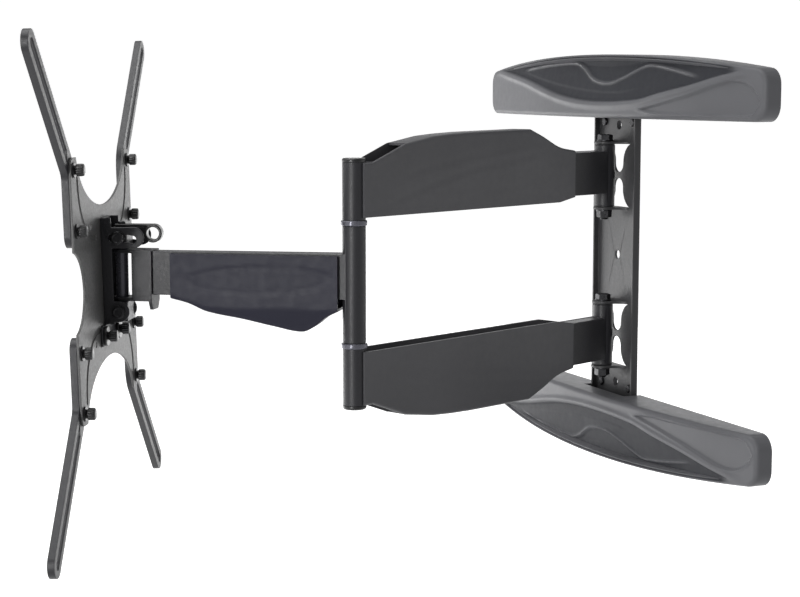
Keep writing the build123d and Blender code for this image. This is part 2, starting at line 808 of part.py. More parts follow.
with BuildPart() as lower_tilt_block:
    with BuildSketch(head_frame.offset(lower_block_top)):
        Rectangle(block_depth, block_width)
    extrude(amount=-block_height)
    fillet(lower_tilt_block.edges().filter_by(Axis.Z), block_round)
    with BuildSketch(head_frame.offset(lower_block_top)):
        Circle(spindle_r)
    extrude(amount=-spindle_grip, mode=Mode.SUBTRACT)
    with BuildSketch(across(head_frame, pivot_z)):
        Circle(tilt_bolt_r)
    extrude(amount=block_width, both=True, mode=Mode.SUBTRACT)
lower_tilt_block.part.label = "lower_tilt_block"
export_step(lower_tilt_block.part, "parts/lower_tilt_block.step")

lug_inside = channel_inner / 2
lug_outside = lug_inside + channel_sheet
washer_face = lug_outside + turn_gap
bolt_levels = (lock_z, pivot_z)
bolt_end = washer_face + tilt_washer + tilt_nut + tilt_tail

with BuildPart() as tilt_bolts:
    for level in bolt_levels:
        with BuildSketch(across(head_frame, level, start=-bolt_end)):
            Circle(tilt_bolt_r)
        extrude(amount=bolt_end + washer_face + tilt_washer)
        with BuildSketch(across(head_frame, level, start=washer_face + tilt_washer)):
            RegularPolygon(tilt_hex, 6, major_radius=False)
        extrude(amount=tilt_head)
tilt_bolts.part.label = "tilt_bolts"
export_step(tilt_bolts.part, "parts/tilt_bolts.step")

with BuildPart() as tilt_nuts:
    for level in bolt_levels:
        with BuildSketch(across(head_frame, level, start=-washer_face - tilt_washer)):
            RegularPolygon(tilt_hex, 6, major_radius=False)
            Circle(tilt_bolt_r, mode=Mode.SUBTRACT)
        extrude(amount=-tilt_nut)
tilt_nuts.part.label = "tilt_nuts"
export_step(tilt_nuts.part, "parts/tilt_nuts.step")

with BuildPart() as tilt_washers:
    for level in bolt_levels:
        for side in (1, -1):
            with BuildSketch(across(head_frame, level, start=side * washer_face)):
                Circle(tilt_washer_r)
                Circle(tilt_bolt_r, mode=Mode.SUBTRACT)
            extrude(amount=side * tilt_washer)
tilt_washers.part.label = "tilt_washers"
export_step(tilt_washers.part, "parts/tilt_washers.step")

friction_pad = lug_inside - block_width / 2 - turn_gap
with BuildPart() as friction_washers:
    for level in bolt_levels:
        for side in (1, -1):
            with BuildSketch(across(head_frame, level, start=side * block_width / 2)):
                Circle(friction_r)
                Circle(tilt_bolt_r, mode=Mode.SUBTRACT)
            extrude(amount=side * friction_pad)
friction_washers.part.label = "friction_washers"
export_step(friction_washers.part, "parts/friction_washers.step")

block_top = lock_z + block_height / 2
with BuildPart() as cable_loop:
    with BuildSketch(elevation(head_frame)):
        with Locations((-loop_reach, block_top + loop_thick - loop_r)):
            Circle(loop_r)
            Circle(loop_r - loop_thick, mode=Mode.SUBTRACT)
        with Locations(((loop_width / 2 - loop_reach) / 2, block_top + loop_thick / 2)):
            Rectangle(loop_reach + loop_width / 2, loop_thick)
    extrude(amount=loop_width / 2, both=True)
    with BuildSketch(head_frame.offset(block_top)):
        Circle(loop_screw_r)
    extrude(amount=loop_thick, mode=Mode.SUBTRACT)
cable_loop.part.label = "cable_loop"
export_step(cable_loop.part, "parts/cable_loop.step")

with BuildPart() as loop_screw:
    with BuildSketch(head_frame.offset(block_top + loop_thick)):
        Circle(loop_head_r)
    extrude(amount=loop_head)
    fillet(loop_screw.edges().group_by(Axis.Z)[-1], loop_head / 2)
    with BuildSketch(head_frame.offset(block_top)):
        Circle(loop_screw_r)
    extrude(amount=loop_thick)
loop_screw.part.label = "loop_screw"
export_step(loop_screw.part, "parts/loop_screw.step")

# ---------------------------------------------------------------- tilt head

# In the tilt frame x points at the screen, y to the right and z up, from the tilt pivot.
bolt_rise = lock_z - pivot_z
plate_back = head_reach
centre_rise = -pivot_z
channel_mid = (channel_top + channel_bottom) / 2 + centre_rise
channel_long = channel_top - channel_bottom
tilt_side = elevation(tilt_frame)
tilt_face = facing(tilt_frame, plate_back)


def slot_point(angle):
    """Where the lock bolt stands in the lug when the plate leans by the angle."""
    return Vector(-bolt_rise * sin(radians(angle)), bolt_rise * cos(radians(angle)))


slot_front = slot_point(-tilt_up - slot_spare)
slot_middle = slot_point((tilt_down - tilt_up) / 2)
slot_back = slot_point(tilt_down + slot_spare)
lug_front = plate_back - lug_r
lug_back = slot_back.X - slot_spare
foot_mid = channel_bottom + centre_rise - foot_height / 2
lock_places = [(way * lock_x, foot_mid) for way in (1, -1)]
rivet_places = [(way * rivet_x, centre_rise + z) for way in (1, -1) for z in rivet_levels]

with BuildPart() as tilt_channel:
    with BuildSketch(tilt_face):
        with Locations((0, channel_mid)):
            Rectangle(channel_inner + 2 * channel_sheet, channel_long)
        with Locations((0, foot_mid)):
            RectangleRounded(foot_width, foot_height, foot_corner_r)
        with Locations((0, channel_bottom + centre_rise)):
            Rectangle(channel_inner + 2 * channel_sheet, foot_height)
        with Locations(*lock_places):
            Circle(lock_r + pivot_play, mode=Mode.SUBTRACT)
        with Locations(*rivet_places):
            Circle(rivet_r, mode=Mode.SUBTRACT)
    extrude(amount=-channel_sheet)
    for side in (1, -1):
        with BuildSketch(elevation(tilt_frame, -side * lug_inside)):
            with Locations((plate_back - channel_flange / 2, channel_mid)):
                Rectangle(channel_flange, channel_long)
            with Locations((lug_front, bolt_rise), (lug_back, bolt_rise), (0, 0)):
                Circle(lug_r)
            with Locations(((lug_front + lug_back) / 2, bolt_rise)):
                Rectangle(lug_front - lug_back, 2 * lug_r)
            with Locations((plate_back / 2, 0)):
                Rectangle(plate_back, 2 * lug_r)
            with Locations((plate_back / 2, bolt_rise)):
                Rectangle(plate_back, 2 * lug_r)
            Circle(tilt_bolt_r + pivot_play, mode=Mode.SUBTRACT)
            SlotArc(
                ThreePointArc(slot_front, slot_middle, slot_back),
                2 * (tilt_bolt_r + slot_play),
                mode=Mode.SUBTRACT,
            )
        extrude(amount=-side * channel_sheet)
tilt_channel.part.label = "tilt_channel"
export_step(tilt_channel.part, "parts/tilt_channel.step")

outer = vesa_outer / 2
inner = vesa_inner / 2
lobe_reach = outer + lobe_r
knob_places = [(x, centre_rise + z) for x in (outer, -outer) for z in (outer, inner, -inner, -outer)]
vesa_places = [(x, centre_rise + z) for x in (inner, -inner) for z in (vesa_small / 2, -vesa_small / 2)]

with BuildPart() as screen_plate:
    with BuildSketch(tilt_face):
        with Locations((0, centre_rise)):
            RectangleRounded(2 * lobe_reach, 2 * lobe_reach, lobe_r)
        for way in (1, -1):
            with Locations((0, centre_rise + way * (notch_rise + notch_depth))):
                Ellipse(notch_half, notch_depth, mode=Mode.SUBTRACT)
            with Locations((way * (lobe_reach + waist_out), centre_rise)):
                Ellipse(lobe_reach + waist_out - waist_half, waist_rise, mode=Mode.SUBTRACT)
        with Locations(*knob_places, *vesa_places):
            Circle(vesa_hole_r, mode=Mode.SUBTRACT)
        with Locations(*lock_places):
            Circle(lock_r + pivot_play, mode=Mode.SUBTRACT)
        with Locations(*rivet_places):
            Circle(rivet_r, mode=Mode.SUBTRACT)
    extrude(amount=screen_sheet)
    with BuildSketch(tilt_face):
        for right in (1, -1):
            for up in (1, -1):
                with BuildLine(mode=Mode.PRIVATE):
                    bead = ThreePointArc(*[(right * x, centre_rise + up * z) for x, z in bead_points])
                SlotArc(bead, bead_width)
    extrude(amount=bead_depth, mode=Mode.SUBTRACT)
screen_plate.part.label = "screen_plate"
export_step(screen_plate.part, "parts/screen_plate.step")

with BuildPart() as plate_rivets:
    with BuildSketch(facing(tilt_frame, plate_back - channel_sheet)):
        with Locations(*rivet_places):
            Circle(rivet_r)
    extrude(amount=channel_sheet + screen_sheet)
    with BuildSketch(facing(tilt_frame, plate_back + screen_sheet)):
        with Locations(*rivet_places):
            Circle(rivet_head_r)
    extrude(amount=rivet_head)
plate_rivets.part.label = "plate_rivets"
export_step(plate_rivets.part, "parts/plate_rivets.step")

with BuildPart() as plate_lock_discs:
    with BuildSketch(facing(tilt_frame, plate_back - channel_sheet)):
        with Locations(*lock_places):
            Circle(lock_disc_r)
            Circle(lock_r + pivot_play, mode=Mode.SUBTRACT)
    extrude(amount=-lock_disc)
plate_lock_discs.part.label = "plate_lock_discs"
export_step(plate_lock_discs.part, "parts/plate_lock_discs.step")

lock_face = plate_back - channel_sheet - lock_disc - turn_gap
for screw_name, place in zip(("lock_screw_right", "lock_screw_left"), lock_places):
    with BuildPart() as lock_screw:
        with BuildSketch(facing(tilt_frame, lock_face)):
            with Locations(place):
                Circle(knob_r)
        extrude(amount=-knob_long)
        with BuildSketch(facing(tilt_frame, lock_face)):
            with Locations(place):
                Circle(lock_r)
        extrude(amount=plate_back + screen_sheet - lock_face)
    lock_screw.part.label = screw_name
    export_step(lock_screw.part, f"parts/{screw_name}.step")

# ---------------------------------------------------------------- extension arms

plate_front = plate_back + screen_sheet
arm_face = facing(tilt_frame, plate_front)
square = reach_square / 2


def extension_line(right, up):
    """Centre line of an extension arm: up its foot, then out to the corner of the pattern."""
    foot = (right * outer, centre_rise + up * (inner - extension_foot / 4))
    knee = (right * outer, centre_rise + up * outer)
    tip = (right * square, centre_rise + up * square)
    with BuildLine(mode=Mode.PRIVATE) as line:
        FilletPolyline(foot, knee, tip, radius=extension_bend_r)
    return line.line


def extension_outline(right, up, width):
    """Band of the given width along the centre line, with round ends."""
    return offset(extension_line(right, up), amount=width / 2, kind=Kind.ARC, mode=Mode.PRIVATE).edges()


corners = {
    "extension_arm_upper_right": (1, 1),
    "extension_arm_upper_left": (-1, 1),
    "extension_arm_lower_right": (1, -1),
    "extension_arm_lower_left": (-1, -1),
}
for corner_name, (right, up) in corners.items():
    with BuildPart() as extension_arm:
        with BuildSketch(arm_face):
            make_face(extension_outline(right, up, extension_width))
        extrude(amount=extension_depth)
        with BuildSketch(facing(tilt_frame, plate_front + extension_sheet)):
            make_face(extension_outline(right, up, extension_width - 2 * extension_sheet))
        extrude(amount=extension_depth, mode=Mode.SUBTRACT)
        with BuildSketch(arm_face):
            make_face(extension_outline(right, up, extension_slot))
            with Locations((right * outer, centre_rise + up * (inner + outer) / 2)):
                Rectangle(extension_width, outer + extension_width, mode=Mode.SUBTRACT)
        extrude(amount=extension_sheet, mode=Mode.SUBTRACT)
        with BuildSketch(arm_face):
            with Locations(*[(right * outer, centre_rise + up * z) for z in (inner, outer)]):
                Circle(vesa_hole_r)
        extrude(amount=extension_sheet, mode=Mode.SUBTRACT)
    extension_arm.part.label = corner_name
    export_step(extension_arm.part, f"parts/{corner_name}.step")

with BuildPart() as extension_bolts:
    with BuildSketch(facing(tilt_frame, plate_front + extension_sheet)):
        with Locations(*knob_places):
            Circle(carriage_head_r)
    extrude(amount=carriage_head)
    with BuildSketch(facing(tilt_frame, plate_front + extension_sheet)):
        with Locations(*knob_places):
            Circle(vesa_hole_r)
    extrude(amount=knob_spare - extension_sheet - screen_sheet - knob_washer - knob_long)
extension_bolts.part.label = "extension_bolts"
export_step(extension_bolts.part, "parts/extension_bolts.step")

with BuildPart() as extension_washers:
    with BuildSketch(tilt_face):
        with Locations(*knob_places):
            Circle(knob_washer_r)
        with Locations(*knob_places):
            Circle(vesa_hole_r, mode=Mode.SUBTRACT)
    extrude(amount=-knob_washer)
extension_washers.part.label = "extension_washers"
export_step(extension_washers.part, "parts/extension_washers.step")

with BuildPart() as extension_knobs:
    with BuildSketch(facing(tilt_frame, plate_back - knob_washer)):
        with Locations(*knob_places):
            Circle(knob_r)
    extrude(amount=-knob_long)
    with BuildSketch(facing(tilt_frame, plate_back - knob_washer)):
        with Locations(*knob_places):
            Circle(vesa_hole_r)
    extrude(amount=knob_spare - knob_long, mode=Mode.SUBTRACT)
extension_knobs.part.label = "extension_knobs"
export_step(extension_knobs.part, "parts/extension_knobs.step")
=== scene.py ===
import json
import math

import bmesh
import bpy
from mathutils import Matrix, Vector


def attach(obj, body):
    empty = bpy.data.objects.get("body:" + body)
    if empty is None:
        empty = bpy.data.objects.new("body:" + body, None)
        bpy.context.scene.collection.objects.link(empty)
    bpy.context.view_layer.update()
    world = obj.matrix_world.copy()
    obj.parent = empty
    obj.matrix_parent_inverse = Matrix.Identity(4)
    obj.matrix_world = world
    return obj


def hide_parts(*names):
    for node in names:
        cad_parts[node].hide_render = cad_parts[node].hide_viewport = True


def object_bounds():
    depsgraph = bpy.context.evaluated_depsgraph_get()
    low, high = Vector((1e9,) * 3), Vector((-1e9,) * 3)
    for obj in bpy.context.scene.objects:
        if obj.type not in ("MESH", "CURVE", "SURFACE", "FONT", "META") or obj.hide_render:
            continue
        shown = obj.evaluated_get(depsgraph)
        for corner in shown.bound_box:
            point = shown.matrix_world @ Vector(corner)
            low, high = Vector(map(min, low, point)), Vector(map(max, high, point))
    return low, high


bl_info = {
    "name": "Full Motion Wall Mount",
    "version": (1, 0, 0),
    "blender": (4, 5, 0),
    "location": "View3D > Sidebar > Wall Mount",
    "description": "Dresses the packed wall mount: moulded covers, fasteners, finishes and a studio",
    "category": "Object",
}

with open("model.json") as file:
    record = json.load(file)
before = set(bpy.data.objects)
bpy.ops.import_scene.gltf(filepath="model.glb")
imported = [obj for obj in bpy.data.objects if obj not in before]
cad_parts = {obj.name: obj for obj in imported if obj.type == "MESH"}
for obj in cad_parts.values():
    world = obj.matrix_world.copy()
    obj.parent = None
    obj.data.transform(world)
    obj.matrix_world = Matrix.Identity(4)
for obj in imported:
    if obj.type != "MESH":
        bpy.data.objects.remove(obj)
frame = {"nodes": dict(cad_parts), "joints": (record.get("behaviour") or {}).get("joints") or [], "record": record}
cad_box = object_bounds()

MM = 0.001
UP = Vector((0, 0, 1))

# ---------------------------------------------------------------- places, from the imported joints


def joint(name):
    """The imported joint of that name."""
    return next(j for j in frame["joints"] if j["name"] == name)


def placing(origin, x_dir, z_dir):
    """Matrix of a right-handed frame with the given x, and z as near as can be to z_dir."""
    x_axis = x_dir.normalized()
    y_axis = z_dir.cross(x_axis).normalized()
    z_axis = x_axis.cross(y_axis)
    turn = Matrix((x_axis, y_axis, z_axis)).transposed().to_4x4()
    return Matrix.Translation(origin) @ turn


wall_hinge = Vector(joint("wall_swing")["pos_m"])
elbow = Vector(joint("elbow_fold")["pos_m"])
swivel = Vector(joint("screen_swivel")["pos_m"])
tilt_pivot = Vector(joint("screen_tilt")["pos_m"])
tilt_axis = Vector(joint("screen_tilt")["axis"])
screen_way = Vector(joint("right_lock_turn")["axis"])

wall_place = Matrix.Identity(4)
arm_place = placing(wall_hinge, elbow - wall_hinge, UP)
forearm_place = placing(elbow, swivel - elbow, UP)
head_place = placing(swivel, tilt_axis.cross(UP), UP)
tilt_place = placing(tilt_pivot, screen_way, UP)
lock_places = {
    side: placing(Vector(joint(f"{side}_lock_turn")["pos_m"]), screen_way, UP) for side in ("right", "left")
}

# ---------------------------------------------------------------- settings


class WallCoverSettings(bpy.types.PropertyGroup):
    """Sizes of the two moulded covers on the wall, in millimetres."""

    wall: bpy.props.FloatProperty(name="Wall", description="Thickness of the moulding", default=2.5)
    rim: bpy.props.FloatProperty(name="Rim", description="Radius of the front edge", default=4.0)
    corner: bpy.props.FloatProperty(name="Corner", description="Radius of the four corners", default=15.0)
    step: bpy.props.FloatProperty(name="Step", description="Spacing of the mesh along the cover", default=2.2)
    rows: bpy.props.IntProperty(name="Rows", description="Rows of mesh across the front", default=62)
    lens: bpy.props.FloatProperty(name="Lens", description="Depth of the dark field", default=2.4)
    lean: bpy.props.FloatProperty(name="Lean", description="How far the field leans back", default=7.0)
    wave: bpy.props.FloatProperty(name="Wave", description="Height of the wave line", default=1.5)
    band: bpy.props.FloatProperty(name="Band", description="Height of the raised band", default=1.5)
    tear: bpy.props.FloatProperty(name="Teardrop", description="Depth of the teardrop panel", default=1.8)


class ArmCoverSettings(bpy.types.PropertyGroup):
    """Sizes of the moulded covers on the arms, in millimetres."""

    wall: bpy.props.FloatProperty(name="Wall", description="Thickness of the moulding", default=2.2)
    half: bpy.props.FloatProperty(name="Half width", description="Half of the outside width", default=12.5)
    fold: bpy.props.FloatProperty(name="Fold", description="Height of the soft side folds", default=0.55)
    facet: bpy.props.FloatProperty(name="Facet", description="How far the belly draws in", default=5.0)
    contour: bpy.props.FloatProperty(name="Contour", description="Depth of the long oval line", default=0.6)
    step: bpy.props.FloatProperty(name="Step", description="Spacing of the mesh along an arm", default=3.0)
    rows: bpy.props.IntProperty(name="Rows", description="Rows of mesh up each side", default=26)


class FastenerSettings(bpy.types.PropertyGroup):
    """Sizes of the knobs, bolts and nuts, in millimetres."""

    flutes: bpy.props.IntProperty(name="Flutes", description="Grip flutes round a knob", default=14)
    flute: bpy.props.FloatProperty(name="Flute depth", description="Depth of a grip flute", default=0.45)
    chamfer: bpy.props.FloatProperty(name="Chamfer", description="Slope of a hexagon's chamfer", default=30.0)
    thread: bpy.props.FloatProperty(name="Thread", description="Pitch of the visible threads", default=1.0)


class FinishSettings(bpy.types.PropertyGroup):
    """Base colours of the finishes."""

    def shade(label, words, colour):
        return bpy.props.FloatVectorProperty(
            name=label, description=words, subtype="COLOR", size=3, min=0, max=1, default=colour
        )

    steel_coat: shade("Steel coat", "Black powder coat on the arms and head", (0.018, 0.018, 0.021))
    wall_coat: shade("Wall plate coat", "Powder coat on the wall plate", (0.034, 0.034, 0.036))
    screen_coat: shade("Screen plate coat", "Powder coat on the screen plate", (0.070, 0.070, 0.070))
    wall_cover: shade("Wall cover", "Moulded plastic of the wall covers", (0.110, 0.111, 0.119))
    lens_field: shade("Lens field", "Darker field inside the wall covers", (0.022, 0.023, 0.028))
    arm_cover: shade("Arm cover", "Moulded plastic of the arm covers", (0.068, 0.068, 0.074))
    forearm_cover: shade("Forearm cover", "Moulded plastic of the forearm cover", (0.017, 0.017, 0.030))
    fastener: shade("Fastener", "Black oxide on bolts and nuts", (0.045, 0.045, 0.048))
    pin: shade("Pin", "Oiled dark steel of the pins", (0.130, 0.130, 0.155))
    bushing: shade("Bushing", "Acetal of the bushings", (0.030, 0.030, 0.032))
    knob: shade("Knob", "Moulded plastic of knobs, caps and loop", (0.012, 0.012, 0.013))


class StudioSettings(bpy.types.PropertyGroup):
    """Camera, floor and lights."""

    azimuth: bpy.props.FloatProperty(name="Azimuth", description="Camera direction in plan", default=67.0)
    elevation: bpy.props.FloatProperty(name="Elevation", description="Camera height angle", default=6.87)
    lens: bpy.props.FloatProperty(name="Lens", description="Focal length in millimetres", default=80.48)
    camera_at: bpy.props.FloatVectorProperty(
        name="Camera", description="Where the camera stands", size=3, default=(1.54896, -0.89765, 0.16944)
    )
    floor_drop: bpy.props.FloatProperty(
        name="Floor drop", description="Floor below the mount's lowest point", default=0.30, unit="LENGTH"
    )


# ---------------------------------------------------------------- mesh helpers


def smooth(low, high, value):
    """Soft step from 0 at low to 1 at high."""
    share = min(1.0, max(0.0, (value - low) / (high - low)))
    return share * share * (3 - 2 * share)


def bump(value, width):
    """Soft hump of height 1 at 0 that fades over the width."""
    return math.exp(-((value / width) ** 2))


def soft_curve(points, x):
    """Height and slope at x of a smooth curve through the points, flat beyond its ends."""
    if x <= points[0][0]:
        return points[0][1], 0.0
    if x >= points[-1][0]:
        return points[-1][1], 0.0
    k = next(i for i in range(len(points) - 1) if x <= points[i + 1][0])
    (x0, y0), (x1, y1) = points[k], points[k + 1]

    def slope(i):
        before, after = points[max(i - 1, 0)], points[min(i + 1, len(points) - 1)]
        return (after[1] - before[1]) / (after[0] - before[0])

    span = x1 - x0
    t = (x - x0) / span
    m0, m1 = slope(k) * span, slope(k + 1) * span
    height = y0 * (2 * t**3 - 3 * t**2 + 1) + m0 * (t**3 - 2 * t**2 + t)
    height += y1 * (3 * t**2 - 2 * t**3) + m1 * (t**3 - t**2)
    rise = (y1 - y0) * (6 * t - 6 * t**2) + m0 * (3 * t**2 - 4 * t + 1) + m1 * (3 * t**2 - 2 * t)
    return height, rise / span


def beside(points, x, z):
    """Distance of (x, z) above a soft curve, measured square to it."""
    height, slope = soft_curve(points, x)
    return (z - height) / math.hypot(1, slope)


class Skin:
    """Points and faces of one piece, in millimetres of its own frame."""

    def __init__(self):
        self.points = []
        self.faces = []
        self.field = []

    def point(self, x, y, z, field=0.0):
        self.points.append((x, y, z))
        self.field.append(field)
        return len(self.points) - 1

    def row(self, points):
        return [self.point(*p) for p in points]

    def bridge(self, one, two, closed=False):
        """Quads between two rows of equal length."""
        count = len(one)
        for i in range(count if closed else count - 1):
            j = (i + 1) % count
            self.faces.append((one[i], one[j], two[j], two[i]))

    def cap(self, ring):
        self.faces.append(tuple(ring))


def make_piece(name, skin, place, crease=32.0):
    """Object from a skin, with its faces turned outwards and edges over the crease angle kept sharp."""
    mesh = bpy.data.meshes.new(name)
    placed = [place @ (Vector(p) * MM) for p in skin.points]
    mesh.from_pydata(placed, [], skin.faces)
    if any(skin.field):
        mesh.attributes.new("field", "FLOAT", "POINT").data.foreach_set("value", skin.field)
    work = bmesh.new()
    work.from_mesh(mesh)
    bmesh.ops.recalc_face_normals(work, faces=work.faces)
    work.to_mesh(mesh)
    work.free()
    mesh.polygons.foreach_set("use_smooth", [True] * len(mesh.polygons))
    mesh.set_sharp_from_angle(angle=math.radians(crease))
    piece = bpy.data.objects.new(name, mesh)
    bpy.context.scene.collection.objects.link(piece)
    return piece


def settle(piece, node, slot):
    """Puts a new piece in the place of a CAD node: its body, its material slot and its finish."""
    body = next(b for b, members in frame["record"]["behaviour"]["bodies"].items() if node in members)
    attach(piece, body)
    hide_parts(node)
    piece.data.materials.clear()
    piece.data.materials.append(finish(slot))
    return piece


# ---------------------------------------------------------------- finishes


class Finish:
    """A material with one Principled shader, built up by short steps."""

    def __init__(self, name, colour, roughness, metallic=0.0, specular=0.5):
        self.material = bpy.data.materials.new(name)
        self.material.use_nodes = True
        self.nodes = self.material.node_tree.nodes
        self.links = self.material.node_tree.links
        self.shader = self.nodes["Principled BSDF"]
        self.shader.inputs["Base Color"].default_value = (*colour, 1)
        self.shader.inputs["Roughness"].default_value = roughness
        self.shader.inputs["Metallic"].default_value = metallic
        self.shader.inputs["Specular IOR Level"].default_value = specular
        self.material.diffuse_color = (*colour, 1)
        self.colour = colour
        self.roughness = roughness
        self.place = self.nodes.new("ShaderNodeTexCoord").outputs["Object"]

    def noise(self, scale, detail=3.0, stretch=None, kind="ShaderNodeTexNoise"):
        """Noise of about that many cells to the metre, on the piece's own coordinates."""
        texture = self.nodes.new(kind)
        texture.inputs["Scale"].default_value = scale
        if kind == "ShaderNodeTexNoise":
            texture.inputs["Detail"].default_value = detail
        place = self.place
        if stretch:
            mapping = self.nodes.new("ShaderNodeMapping")
            mapping.inputs["Scale"].default_value = stretch
            self.links.new(place, mapping.inputs["Vector"])
            place = mapping.outputs["Vector"]
        self.links.new(place, texture.inputs["Vector"])
        return texture.outputs["Fac" if kind == "ShaderNodeTexNoise" else "Distance"]

    def spread(self, value, low, high, from_low=0.3, from_high=0.7):
        """The value stretched from its usual span to low and high."""
        span = self.nodes.new("ShaderNodeMapRange")
        span.inputs["From Min"].default_value = from_low
        span.inputs["From Max"].default_value = from_high
        span.inputs["To Min"].default_value = low
        span.inputs["To Max"].default_value = high
        self.links.new(value, span.inputs["Value"])
        return span.outputs["Result"]

    def mix(self, share, one, two):
        """Colour that goes from one to two as the share goes from 0 to 1."""
        blend = self.nodes.new("ShaderNodeMix")
        blend.data_type = "RGBA"
        for socket, value in ((blend.inputs[6], one), (blend.inputs[7], two)):
            if isinstance(value, bpy.types.NodeSocket):
                self.links.new(value, socket)
            else:
                socket.default_value = (*value, 1)
        self.links.new(share, blend.inputs[0])
        return blend.outputs[2]

    def total(self, one, two):
        """Sum of two values."""
        both = self.nodes.new("ShaderNodeMath")
        self.links.new(one, both.inputs[0])
        self.links.new(two, both.inputs[1])
        return both.outputs[0]

    def tint(self, colour):
        self.links.new(colour, self.shader.inputs["Base Color"])

    def polish(self, value):
        self.links.new(value, self.shader.inputs["Roughness"])

    def relief(self, height, depth, strength=1.0, normal=None):
        """Bump of that depth in metres; a normal chains it onto an earlier one."""
        node = self.nodes.new("ShaderNodeBump")
        node.inputs["Strength"].default_value = strength
        node.inputs["Distance"].default_value = depth
        self.links.new(height, node.inputs["Height"])
        if normal:
            self.links.new(normal, node.inputs["Normal"])
        self.links.new(node.outputs["Normal"], self.shader.inputs["Normal"])
        return node.outputs["Normal"]

    def edges(self, radius):
        """1 close to an edge and 0 away from it."""
        bevel = self.nodes.new("ShaderNodeBevel")
        bevel.samples = 4
        bevel.inputs["Radius"].default_value = radius
        flat = self.nodes.new("ShaderNodeNewGeometry")
        dot = self.nodes.new("ShaderNodeVectorMath")
        dot.operation = "DOT_PRODUCT"
        self.links.new(bevel.outputs["Normal"], dot.inputs[0])
        self.links.new(flat.outputs["Normal"], dot.inputs[1])
        return self.spread(dot.outputs["Value"], 1.0, 0.0, 0.80, 0.99)

    def patchy(self, amount, scale=14.0):
        """Base colour a little lighter and darker from place to place."""
        dark = tuple(c * (1 - amount) for c in self.colour)
        light = tuple(min(1.0, c * (1 + amount)) for c in self.colour)
        return self.mix(self.spread(self.noise(scale, 4.0), 0.0, 1.0), dark, light)


def powder_coat(name, colour, roughness):
    """Baked powder coat: orange-peel grain, fine speckle and thin edges worn a little brighter."""
    made = Finish(name, colour, roughness)
    speckle = made.spread(made.noise(2600.0, 1.0), 0.0, 1.0, 0.45, 0.75)
    base = made.mix(speckle, made.patchy(0.12), tuple(c * 1.8 for c in colour))
    worn = tuple(min(1.0, c * 3.2 + 0.02) for c in colour)
    made.tint(made.mix(made.edges(0.0007), base, worn))
    made.polish(made.spread(made.noise(420.0, 2.0), roughness - 0.05, roughness + 0.07))
    peel = made.relief(made.noise(900.0, 1.5), 0.00008, 0.55)
    made.relief(made.noise(2600.0, 0.0), 0.00003, 0.4, peel)
    return made.material


def moulded_plastic(name, colour, roughness, grain=1500.0, depth=0.00005, specular=0.5):
    """Injection-moulded plastic with a fine spark-eroded grain."""
    made = Finish(name, colour, roughness, specular=specular)
    made.tint(made.patchy(0.10, 9.0))
    made.polish(made.spread(made.noise(160.0, 3.0), roughness - 0.04, roughness + 0.05))
    coarse = made.relief(made.noise(grain, 2.0), depth, 0.5)
    made.relief(made.noise(grain * 2.3, 0.0), depth * 0.5, 0.35, coarse)
    return made.material


def cover_plastic(name, colour, field, roughness):
    """Moulded plastic of the wall covers, with a darker and duller field inside the lens outline."""
    made = Finish(name, colour, roughness, specular=0.2)
    mark = made.nodes.new("ShaderNodeAttribute")
    mark.attribute_name = "field"
    made.tint(made.mix(mark.outputs["Fac"], made.patchy(0.08, 7.0), field))
    satin = made.spread(made.noise(160.0, 3.0), roughness - 0.03, roughness + 0.05)
    made.polish(made.total(satin, made.spread(mark.outputs["Fac"], 0.0, 0.16, 0.0, 1.0)))
    coarse = made.relief(made.noise(1700.0, 2.0), 0.00005, 0.45)
    made.relief(made.noise(3900.0, 0.0), 0.00002, 0.3, coarse)
    return made.material


def oiled_steel(name, colour, roughness):
    """Turned dark steel: fine rings round the pin and a thin uneven film of oil."""
    made = Finish(name, colour, roughness, metallic=0.4)
    made.tint(made.patchy(0.15, 40.0))
    made.polish(made.spread(made.noise(220.0, 3.0), roughness - 0.06, roughness + 0.08))
    made.relief(made.noise(60.0, 2.0, stretch=(1.0, 1.0, 60.0)), 0.00002, 0.5)
    return made.material


def black_oxide(name, colour, roughness):
    """Black oxide on hardened steel: mottled, with corners rubbed to bare metal."""
    made = Finish(name, colour, roughness, metallic=0.85)
    made.tint(made.mix(made.edges(0.0004), made.patchy(0.25, 300.0), (0.20, 0.20, 0.205)))
    made.polish(made.spread(made.noise(500.0, 2.0), roughness - 0.08, roughness + 0.08))
    made.relief(made.noise(1800.0, 1.0), 0.00003, 0.4)
    return made.material


def gloss_plastic(name, colour, roughness):
    """Smooth moulded plastic of the hand knobs, caps and cable loop."""
    made = Finish(name, colour, roughness)
    made.shader.inputs["Coat Weight"].default_value = 0.15
    made.shader.inputs["Coat Roughness"].default_value = 0.3
    made.tint(made.patchy(0.15, 60.0))
    made.polish(made.spread(made.noise(300.0, 2.0), roughness - 0.05, roughness + 0.07))
    made.relief(made.noise(2200.0, 1.0), 0.00003, 0.35)
    return made.material


